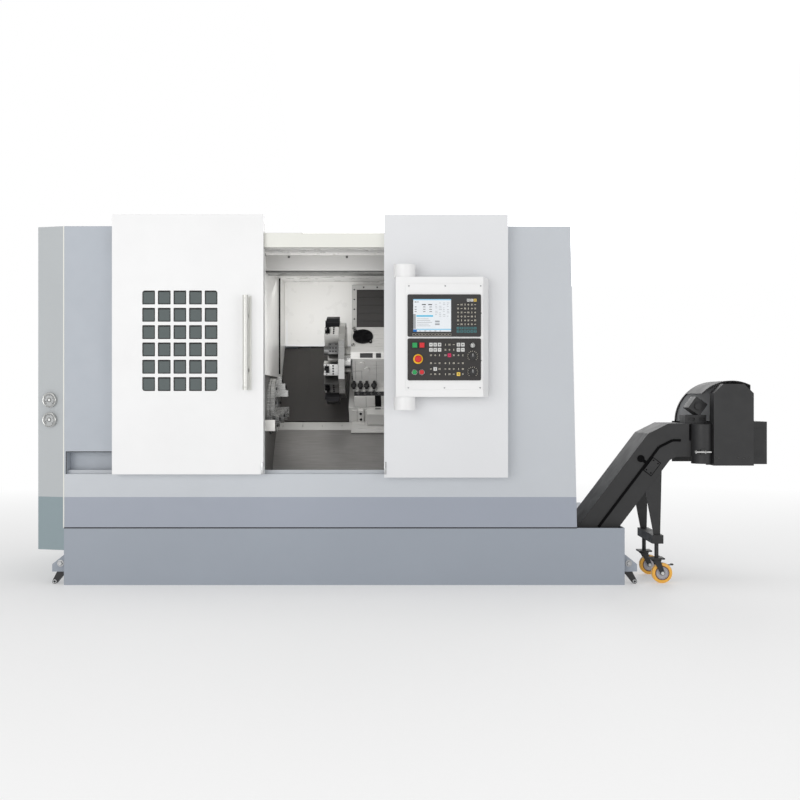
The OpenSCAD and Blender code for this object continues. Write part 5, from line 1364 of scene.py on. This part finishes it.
# Plates, blocks and gaps are placed from the lower left corner of the face they stand on.
SLIDE_PLATE = {"right": 124 * MM, "foot": 6 * MM, "rise": 9 * MM}
SLIDE_GAP, SLIDE_GAP_RISE = mm(124, 160), 3 * MM
SLIDE_JOINT, SLIDE_JOINT_RISE = mm(70, 71.5), 9.4 * MM
SADDLE_FRONT, SADDLE_FOOT = mm(170, 320)
CLAMP_BLOCKS = ((mm(22, 14, 0), mm(48, 112, 8)), (mm(96, 14, 0), mm(152, 112, 8)))
CLAMP_KEY = (mm(54, 14, 0), mm(90, 124, 20), 2 * MM)
CLAMP_KEY_SCREWS = (mm(72, 52, 20), mm(72, 100, 20))
CLAMP_KEY_SCREW = 17 * MM
SADDLE_GAP = (mm(158, 10, 0), mm(192, 126, 2))
FOOT_PLATE = {"low": mm(14, -92, 9), "right_gap": 45 * MM, "upper": 6 * MM, "rise": 15 * MM}
SHIELD = {"edge": 15 * MM, "screw": 10 * MM, "side_screws": 5, "top_screws": 4}


def build_cross_slide():
    """Nuts on the ledge of the cross slide, and the plate on its front."""
    low, high = slope_box("cross_slide")
    width, tall = high.x - low.x, high.z - low.z
    slide = Piece("cross_slide_fittings")
    ledge = facing(on_slope(low.x, low.y, high.z), OFF_SLOPE)
    depth, rise = LEDGE["depth"], LEDGE["rise"]
    slide.use("dark_coat_and_painted_shade").box(ledge, (0, 0, 0), (width, depth, rise))
    slide.use("holder_steel")
    start, end = (LEDGE["start"], depth / 2, rise), (width - LEDGE["end"], depth / 2, rise)
    for spot in row(start, end, LEDGE["nuts"]):
        slide.hex_bolt(on(ledge, *spot), LEDGE["nut"])
    apron = facing(on_slope(low.x, low.y, low.z), -UP_SLOPE)
    right, foot, rise = SLIDE_PLATE["right"], SLIDE_PLATE["foot"], SLIDE_PLATE["rise"]
    slide.use("guard_steel").box(apron, (0, foot, 0), (right, tall, rise), PLATE_EASE)
    # A flat black strip across the apron's gap: painted shade. The thin strip after it is a dark joint.
    slide.use("flat_black_and_painted_shade")
    start, end = SLIDE_GAP
    slide.box(apron, (start, 0, 0), (end, tall, SLIDE_GAP_RISE))
    start, end = SLIDE_JOINT
    slide.box(apron, (start, foot, rise), (end, tall, SLIDE_JOINT_RISE))
    slide.build("cross_slide", "stainless_sheet")


def build_saddle():
    """Clamp blocks and foot plate on the front of the saddle, and screws round its shield."""
    low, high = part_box("saddle")
    fittings = Piece("saddle_fittings").use("guard_steel")
    front = facing(on_slope(low.x, SADDLE_FRONT, -SADDLE_FOOT), -UP_SLOPE)
    for block in CLAMP_BLOCKS:
        fittings.box(front, *block, PLATE_EASE)
    fittings.box(front, *CLAMP_KEY)
    # A flat black strip in the gap right of the clamp blocks: painted shade.
    fittings.use("flat_black_and_painted_shade").box(front, *SADDLE_GAP)
    fittings.use("black_oxide")
    for spot in CLAMP_KEY_SCREWS:
        fittings.socket_screw(on(front, *spot), CLAMP_KEY_SCREW)
    foot_high = (high.x - low.x - FOOT_PLATE["right_gap"], FOOT_PLATE["upper"], FOOT_PLATE["rise"])
    fittings.use("slide_steel").box(slope_edge(low.x), FOOT_PLATE["low"], foot_high, PLATE_EASE)
    shield_low, shield_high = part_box("x_way_cover")
    y, edge = shield_low.y - PROUD, SHIELD["edge"]
    spots = []
    for x in (low.x + edge, high.x - edge):
        spots += row((x, y, shield_low.z), (x, y, shield_high.z), SHIELD["side_screws"])
    z = high.z - edge
    spots += row((low.x + 5 * edge, y, z), (high.x - 5 * edge, y, z), SHIELD["top_screws"])
    fittings.use("black_oxide")
    for spot in spots:
        fittings.socket_screw(facing(spot, FRONT), SHIELD["screw"])
    fittings.build("saddle", "stainless_sheet")


# Feet

FOOT = {"bolt_at": mm(45, 111), "bolt": 22 * MM, "hole_at": mm(13, 13), "hole": 6 * MM}


def build_feet():
    """A bolt through each foot bracket and a washer round the anchor hole of each lug."""
    low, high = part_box("levelling_feet")
    feet = Piece("feet_fittings").use("zinc_steel")
    (bolt_x, bolt_z), (hole_x, hole_z) = FOOT["bolt_at"], FOOT["hole_at"]
    for y, way in ((low.y, FRONT), (high.y, BACK)):
        for x, side in ((low.x, 1), (high.x, -1)):
            feet.hex_bolt(facing((x + side * bolt_x, y, bolt_z), way), FOOT["bolt"])
            hole = facing((x + side * hole_x, y, hole_z), way)
            feet.ring(hole, FOOT["hole"], 1.8 * FOOT["hole"], 0, PROUD)
    feet.build("root", "bright_steel")


# Conveyor

RISE = math.radians(52.8)
CASING, CLEAR, SIDE_SUNK = mm(180, 12, 6)
RIB_HALF, RIB_RISE = mm(6.5, 6.4)
# Length of each stretch of the rib, and the turn after it
RIB = ((541 * MM, -RISE / 2), (82 * MM, -RISE / 2), (44 * MM, 0))
HATCH = {"at": mm(393, -58), "size": mm(82, 48), "rise": 6 * MM, "joint": 4 * MM, "margin": 9 * MM,
         "screw": 8 * MM}
KNOB = {"at": mm(432, 40), "radius": 19 * MM, "rise": 10 * MM, "ease": 3 * MM}
KNOB_STRAP = (mm(-8, -40, 0), mm(8, 0, 5))
THROAT = {"left": 90 * MM, "drop": 92 * MM, "size": mm(20, 88)}
DRUM = {"right": 140 * MM, "back": 5 * MM, "up": 7 * MM, "radius": 216 * MM, "step": 9, "points": 14,
        "thick": 2 * MM}
GUARD_SCREWS = mm(30, 45, 150, 180, 208)
GUARD_SCREW_UP, GUARD_SCREW = mm(40, 7)
TAKE_UP = {"left": 50 * MM, "back": 14 * MM, "up": 72 * MM}
TAKE_UP_BLOCK = (mm(4, -14, -18), mm(24, 14, 2))
TAKE_UP_SCREW = mm(5, -28, 62)
TAKE_UP_NUT, TAKE_UP_NUTS = mm(9, 8), mm(-26, 25)
MOTOR_COVER = {"left": 110 * MM, "back": 285 * MM}
MOTOR_COVER_JOINT = (mm(4, 196, 0), mm(106, 198, 1))


def add_run_fittings(fittings):
    """Rib, hatch, knob and throat on the near side of the rising run. The rib and the throat are flat black:
    painted shade.
    """
    low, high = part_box("conveyor_trough")
    near = low.y + SIDE_SUNK
    foot_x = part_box("front_sill_panel")[1].x + CLEAR + CASING / 2 / math.sin(RISE)
    run = on(facing((foot_x, near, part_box("base_tray")[1].z), FRONT), 0, 0, 0, RISE)
    # The rib is drawn flat black: painted shade along it. The hatch's outline after it is a dark joint.
    fittings.use("flat_black_and_painted_shade")
    spot = run
    for reach, turn in RIB:
        fittings.box(spot, (0, -RIB_HALF, 0), (reach, RIB_HALF, RIB_RISE))
        spot = on(spot, reach, 0, 0, turn)
    hatch = on(run, *HATCH["at"])
    (width, tall), rise = HATCH["size"], HATCH["rise"]
    joint, margin = HATCH["joint"], HATCH["margin"]
    fittings.box(hatch, (-joint, -joint, 0), (width + joint, tall + joint, PROUD))
    fittings.use("black_coat").box(hatch, (0, 0, 0), (width, tall, rise), PROUD)
    fittings.use("flat_black_and_painted_shade")
    for x in (margin, width - margin):
        for y in (margin, tall - margin):
            fittings.socket_screw(on(hatch, x, y, rise), HATCH["screw"])
    knob = on(run, *KNOB["at"])
    fittings.box(knob, *KNOB_STRAP)
    fittings.rod(knob, KNOB["radius"], 0, KNOB["rise"], KNOB["ease"])
    # A flat black strip at the throat: painted shade of the gap.
    throat = facing((high.x - THROAT["left"], near, high.z - THROAT["drop"]), FRONT)
    fittings.box(throat, (0, 0, 0), (*THROAT["size"], PROUD))


def add_head_fittings(fittings):
    """Inner plate, guard screws, take-up screw and motor cover joint of the conveyor head. The inner plate's
    pale tone is raised so that it reads lit in the head's shade: partly painted light.
    """
    low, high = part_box("conveyor_head")
    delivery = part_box("conveyor_trough")[1]
    drum = (delivery.x + DRUM["right"], high.y - DRUM["back"], delivery.z + DRUM["up"])
    turns = [math.radians(180 - DRUM["step"] * k) for k in range(DRUM["points"])]
    outline = [(DRUM["radius"] * math.cos(turn), DRUM["radius"] * math.sin(turn)) for turn in turns]
    outline.append((outline[-1][0], 0))
    # A pale plate inside the drum's arc, its tone raised to read lit in the head's shade: partly painted
    # light.
    fittings.use("cast_grey").slab(facing(drum, FRONT), outline, 0, DRUM["thick"])
    guard = facing((delivery.x, low.y, low.z), FRONT)
    fittings.use("dark_casting")
    for x in GUARD_SCREWS:
        fittings.socket_screw(on(guard, x, GUARD_SCREW_UP), GUARD_SCREW)
    corner = (delivery.x - TAKE_UP["left"], low.y + TAKE_UP["back"], low.z + TAKE_UP["up"])
    take_up = facing(corner, FRONT)
    fittings.use("dark_coat_and_painted_shade").box(take_up, *TAKE_UP_BLOCK, PROUD)
    screw = take_up @ Matrix.Rotation(math.pi / 2, 4, "Y")
    fittings.use("polished_steel").rod(screw, *TAKE_UP_SCREW, PROUD)
    radius, tall = TAKE_UP_NUT
    for reach in TAKE_UP_NUTS:
        fittings.rod(on(screw, 0, 0, reach), radius, 0, tall, PROUD, HEXAGON)
    cover = facing((high.x - MOTOR_COVER["left"], high.y - MOTOR_COVER["back"], low.z), FRONT)
    fittings.use("dark_coat_and_painted_shade").box(cover, *MOTOR_COVER_JOINT)


def build_conveyor():
    """Fittings of the run and the head in one piece."""
    fittings = Piece("conveyor_fittings")
    add_run_fittings(fittings)
    add_head_fittings(fittings)
    fittings.build("root", "black_paint")


# Castors

TREAD_INNER, TREAD_EDGE = 0.68, 4 * MM
TREAD_GAP, TREAD_LIP = mm(3, 0.2)
HUB_BORE, HUB_BOSS, HUB_WEB = 6.1 * MM, 14 * MM, 0.86
AXLE_NUT = mm(10, -3.5, 2)
LEVER_DROP = 38 * MM
LEVER = ((mm(28, -11, -4), mm(60, 11, 0)), (mm(48, -13, 0), mm(62, 13, 4)))


def mirrored(profile):
    """A profile of (radius, height) points below the middle, closed with its mirror image."""
    upper = [(radius, -height) for radius, height in reversed(profile)]
    return [*profile, *upper, profile[0]]


def build_wheel(wheel):
    """A castor wheel with an amber tyre, a dark joint and a grey hub."""
    hub = facing(middle_of(wheel), FRONT)
    radius, half = size_of(wheel).z / 2, size_of(wheel).y / 2 - PROUD
    inner, edge = radius * TREAD_INNER, TREAD_EDGE
    rim, boss = inner - TREAD_GAP, half + PROUD
    piece = Piece(wheel + "_dressed").use("amber_tread")
    piece.turned(hub, mirrored([(inner, -half), (radius - edge, -half), (radius - edge / 3, edge / 3 - half),
                                (radius, edge - half)]), SMOOTH)
    piece.use("tread_line").ring(on(hub, 0, 0, -half), rim, inner + PROUD, -TREAD_LIP,
                                 2 * half + TREAD_LIP, 0, SMOOTH)
    piece.use("hub_grey").turned(hub, mirrored([(HUB_BORE, -boss), (HUB_BOSS, -boss), (HUB_BOSS, -half / 2),
                                                (rim * HUB_WEB, -half / 2), (rim, -half)]), 40)
    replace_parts(piece.build(wheel, "castor_tread"), wheel)


def build_fork(fork, wheel):
    """Axle nuts and brake lever of a castor fork."""
    low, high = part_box(fork)
    axle = middle_of(wheel)
    nuts = Piece(fork + "_fittings").use("white_key")
    for y, way in ((low.y, FRONT), (high.y, BACK)):
        nuts.rod(facing((axle.x, y, axle.z), way), *AXLE_NUT, PROUD, HEXAGON)
    lever = facing((axle.x, middle_of(fork).y, high.z - LEVER_DROP), UP, BACK)
    nuts.use("black_coat")
    for plate in LEVER:
        nuts.box(lever, *plate, PROUD)
    nuts.build(fork, "black_paint")


# Cabinet

CABINET_SHEET = 24 * MM
LOUVRE = {"columns": (0.2, 0.62), "count": 9, "foot": 90 * MM, "pitch": 22 * MM}
LOUVRE_SLAT = (mm(0, 0, 0), mm(180, 9, 6), 2 * MM)
LOUVRE_SLOT = (mm(3, -4, 0), mm(177, 0, 0.6))
LATCH = {"at": 60 * MM, "plate": mm(46, 130, 12), "grip": mm(22, 76, 9), "grip_drop": 20 * MM}
LATCH_PLATE, LATCH_GRIP = mm(0, 6, 2), mm(6, 20, 3)


def build_cabinet():
    """Louvres and latch on the cabinet door at the back."""
    low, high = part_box("cabinet_door")
    door = facing((high.x, low.y + CABINET_SHEET, low.z), BACK)
    width, tall = high.x - low.x, high.z - low.z
    trim = Piece("cabinet_door_trim")
    for share in LOUVRE["columns"]:
        for k in range(LOUVRE["count"]):
            slat = on(door, width * share, LOUVRE["foot"] + LOUVRE["pitch"] * k)
            trim.use("light_grey_enamel").box(slat, *LOUVRE_SLAT)
            # A dark strip under each slat: painted shade of the louvre's opening.
            trim.use("rubber").box(slat, *LOUVRE_SLOT)
    latch = on(door, LATCH["at"], tall / 2)
    trim.use("black_moulding").slab(latch, rounded(*LATCH["plate"]), *LATCH_PLATE)
    trim.slab(on(latch, 0, -LATCH["grip_drop"]), rounded(*LATCH["grip"]), *LATCH_GRIP)
    trim.build("cabinet_door", "light_grey_paint")


# Studio

WHITE = (1, 1, 1, 1)
FLOOR = {"radius": 60.0, "sides": 96, "roughness": 0.6, "speck_scale": 90.0, "speck": 0.98}
FLOOR_FADE = {"From Min": 1.6, "From Max": 7.0, "To Min": 0.3, "To Max": 1.0}
SENSOR, FAR_CLIP = 36.0, 200.0
# Place, aim, width, height, watts, and whether the camera and reflections see the light
LIGHTS = {
    "key_light": ((-3.2, -7.5, 1.7), (-0.2, -0.5, 0.9), 5.0, 4.0, 255, True),
    "fill_light": ((4.6, -7.0, 1.8), (0.4, -0.4, 0.8), 4.0, 3.0, 108, True),
    "top_light": ((0.0, -0.5, 5.6), (0.0, 0.0, 1.0), 6.0, 4.0, 100, True),
    "back_light": ((1.5, 6.5, 4.2), (0.0, 0.4, 1.0), 6.0, 4.0, 220, True),
    "ceiling_light": ((-0.45, -0.2, 1.66), (-0.4, 0.1, 0.9), 0.9, 0.3, 2, False),
    "work_light": ((-0.43, -0.72, 1.15), (-0.43, 0.3, 1.1), 0.6, 1.0, 9, False),
    "wall_light": ((-0.6, 0.12, 1.5), (-0.6, 0.5, 1.5), 0.5, 0.5, 1.1, False),
}


def build_light(name, at, towards, width, height, power, seen):
    """A large area light aimed at a point."""
    light = bpy.data.lights.new(name, "AREA")
    light.shape = "RECTANGLE"
    light.size = width
    light.size_y = height
    light.energy = power
    lamp = bpy.data.objects.new(name, light)
    lamp.location = at
    lamp.rotation_euler = (Vector(towards) - Vector(at)).to_track_quat("-Z", "Y").to_euler()
    lamp.visible_camera = seen
    lamp.visible_glossy = seen
    bpy.context.scene.collection.objects.link(lamp)


def build_floor(tint):
    """A pale round floor that fades into the white surround far from the machine."""
    shape = bmesh.new()
    bmesh.ops.create_circle(shape, cap_ends=True, radius=FLOOR["radius"], segments=FLOOR["sides"])
    mesh = bpy.data.meshes.new("studio_floor")
    shape.to_mesh(mesh)
    shape.free()
    material = bpy.data.materials.new("studio_floor")
    material.use_nodes = True
    tree = material.node_tree
    principled = tree.nodes["Principled BSDF"]
    principled.inputs["Roughness"].default_value = FLOOR["roughness"]
    speck = stretch(tree, noise(tree, here(tree), FLOOR["speck_scale"]), FLOOR["speck"], 1.0)
    tree.links.new(multiplied(tree, tint, speck), principled.inputs["Base Color"])
    far = shader_node(tree, "VectorMath", {0: here(tree)}, operation="LENGTH").outputs["Value"]
    fade = shader_node(tree, "MapRange", {"Value": far, **FLOOR_FADE})
    glow = shader_node(tree, "Emission", {"Color": WHITE, "Strength": 1.0})
    blend = shader_node(tree, "MixShader", {
        0: fade.outputs["Result"], 1: principled.outputs[0], 2: glow.outputs[0]})
    tree.links.new(blend.outputs[0], tree.nodes["Material Output"].inputs["Surface"])
    mesh.materials.append(material)
    floor = bpy.data.objects.new("studio_floor", mesh)
    bpy.context.scene.collection.objects.link(floor)


def build_surround(strength):
    """A white surround: full white to the eye, softer as light."""
    world = bpy.data.worlds.new("studio_surround")
    world.use_nodes = True
    tree = world.node_tree
    sky = tree.nodes["Background"]
    sky.inputs["Color"].default_value = WHITE
    sky.inputs["Strength"].default_value = strength
    seen = shader_node(tree, "Background", {"Color": WHITE, "Strength": 1.0})
    path = shader_node(tree, "LightPath")
    blend = shader_node(tree, "MixShader", {
        0: path.outputs["Is Camera Ray"], 1: sky.outputs[0], 2: seen.outputs[0]})
    tree.links.new(blend.outputs[0], tree.nodes["World Output"].inputs["Surface"])
    bpy.context.scene.world = world


def build_camera(studio):
    """The camera in front of the machine, level, at about chest height."""
    data = bpy.data.cameras.new("front_camera")
    data.lens = studio.lens
    data.sensor_width = SENSOR
    data.clip_end = FAR_CLIP
    camera = bpy.data.objects.new("front_camera", data)
    camera.location = (studio.offset, FRONT_Y - studio.distance, studio.height)
    camera.rotation_euler = (math.radians(90), 0, 0)
    bpy.context.scene.collection.objects.link(camera)
    bpy.context.scene.camera = camera


def build_studio(studio):
    """Floor, surround, lights and camera."""
    build_floor(studio.floor)
    build_surround(studio.sky)
    for name, (at, towards, width, height, watts, seen) in LIGHTS.items():
        build_light(name, at, towards, width, height, watts * studio.power, seen)
    build_camera(studio)
    bpy.context.scene.view_settings.view_transform = "Standard"


# Operators

class LATHE_OT_finishes(bpy.types.Operator):
    """Make the finishes and give each solid its own"""

    bl_idname = "lathe.finishes"
    bl_label = "Finishes"

    def execute(self, context):
        build_finishes(context.scene.lathe_colours)
        finish_nodes()
        return {"FINISHED"}


class LATHE_OT_enclosure(bpy.types.Operator):
    """Add the seams, the painted shade and highlight lines, the plate and screws of the fixed panels, and
    the fittings of the feet
    """

    bl_idname = "lathe.enclosure"
    bl_label = "Enclosure trim"

    def execute(self, context):
        build_seams_shade_and_highlight()
        build_corner_plate()
        build_panel_screws(context.scene.lathe_sizes.panel_screw)
        build_feet()
        return {"FINISHED"}


class LATHE_OT_door(bpy.types.Operator):
    """Add the window gaskets, with painted shade along their tops, and the fittings of the door"""

    bl_idname = "lathe.door"
    bl_label = "Door trim"

    def execute(self, context):
        build_gaskets_and_shade()
        build_door_trim(context.scene.lathe_sizes)
        return {"FINISHED"}


class LATHE_OT_gauges(bpy.types.Operator):
    """Build the two dial gauges"""

    bl_idname = "lathe.gauges"
    bl_label = "Gauges"

    def execute(self, context):
        build_gauges(context.scene.lathe_sizes)
        return {"FINISHED"}


class LATHE_OT_pendant(bpy.types.Operator):
    """Add the keys, screen page, bezels, scales and pointers of the pendant"""

    bl_idname = "lathe.pendant"
    bl_label = "Pendant"

    def execute(self, context):
        sizes = context.scene.lathe_sizes
        build_display_keys(sizes.key_rise)
        build_mode_keys(sizes.key_rise)
        build_screen()
        build_control_trim(sizes.face_screw)
        build_pointers()
        return {"FINISHED"}


class LATHE_OT_work_area(bpy.types.Operator):
    """Add the lamp fittings, wall trim and slope flange of the work area"""

    bl_idname = "lathe.work_area"
    bl_label = "Work area"

    def execute(self, context):
        build_work_area()
        return {"FINISHED"}


class LATHE_OT_chuck(bpy.types.Operator):
    """Add the screws and rings of the chuck, and the screws of its jaws"""

    bl_idname = "lathe.chuck"
    bl_label = "Chuck"

    def execute(self, context):
        build_chuck()
        return {"FINISHED"}


class LATHE_OT_turret(bpy.types.Operator):
    """Build the tool holders and the hub of the disc"""

    bl_idname = "lathe.turret"
    bl_label = "Turret"

    def execute(self, context):
        build_holders()
        build_turret_hub()
        return {"FINISHED"}


class LATHE_OT_slides(bpy.types.Operator):
    """Add the fittings of the turret housing and the slides"""

    bl_idname = "lathe.slides"
    bl_label = "Slides"

    def execute(self, context):
        build_housing()
        build_elbows()
        build_cross_slide()
        build_saddle()
        return {"FINISHED"}


class LATHE_OT_conveyor(bpy.types.Operator):
    """Add the rib, hatch, take-up screw and other fittings of the conveyor"""

    bl_idname = "lathe.conveyor"
    bl_label = "Conveyor"

    def execute(self, context):
        build_conveyor()
        return {"FINISHED"}


class LATHE_OT_castors(bpy.types.Operator):
    """Build the castor wheels and the fittings of their forks"""

    bl_idname = "lathe.castors"
    bl_label = "Castors"

    def execute(self, context):
        for end in ("front", "rear"):
            wheel = f"castor_wheel_{end}"
            build_wheel(wheel)
            build_fork(f"castor_fork_{end}", wheel)
        return {"FINISHED"}


class LATHE_OT_cabinet(bpy.types.Operator):
    """Add the louvres and the latch of the cabinet door"""

    bl_idname = "lathe.cabinet"
    bl_label = "Cabinet"

    def execute(self, context):
        build_cabinet()
        return {"FINISHED"}


class LATHE_OT_studio(bpy.types.Operator):
    """Build the floor, the light and the camera"""

    bl_idname = "lathe.studio"
    bl_label = "Studio"

    def execute(self, context):
        build_studio(context.scene.lathe_studio)
        return {"FINISHED"}


OPERATORS = (
    LATHE_OT_finishes, LATHE_OT_enclosure, LATHE_OT_door, LATHE_OT_gauges, LATHE_OT_pendant,
    LATHE_OT_work_area, LATHE_OT_chuck, LATHE_OT_turret, LATHE_OT_slides, LATHE_OT_conveyor,
    LATHE_OT_castors, LATHE_OT_cabinet, LATHE_OT_studio)
SETTINGS = {"lathe_colours": LatheColours, "lathe_sizes": LatheSizes, "lathe_studio": LatheStudio}


class LATHE_PT_dressing(bpy.types.Panel):
    """Steps and settings of the dressing"""

    bl_label = "Lathe dressing"
    bl_idname = "LATHE_PT_dressing"
    bl_space_type = "VIEW_3D"
    bl_region_type = "UI"
    bl_category = "Lathe"

    def draw(self, context):
        for operator in OPERATORS:
            self.layout.operator(operator.bl_idname)
        for group in SETTINGS:
            settings = getattr(context.scene, group)
            for name in settings.bl_rna.properties.keys():
                if name not in ("rna_type", "name"):
                    self.layout.prop(settings, name)


CLASSES = (*SETTINGS.values(), *OPERATORS, LATHE_PT_dressing)


def register():
    for item in CLASSES:
        bpy.utils.register_class(item)
    for name, group in SETTINGS.items():
        setattr(bpy.types.Scene, name, bpy.props.PointerProperty(type=group))


def unregister():
    for name in SETTINGS:
        delattr(bpy.types.Scene, name)
    for item in reversed(CLASSES):
        bpy.utils.unregister_class(item)


def main():
    register()
    for operator in OPERATORS:
        step = operator.bl_idname.split(".")[1]
        getattr(bpy.ops.lathe, step)()


if __name__ == "__main__":
    main()
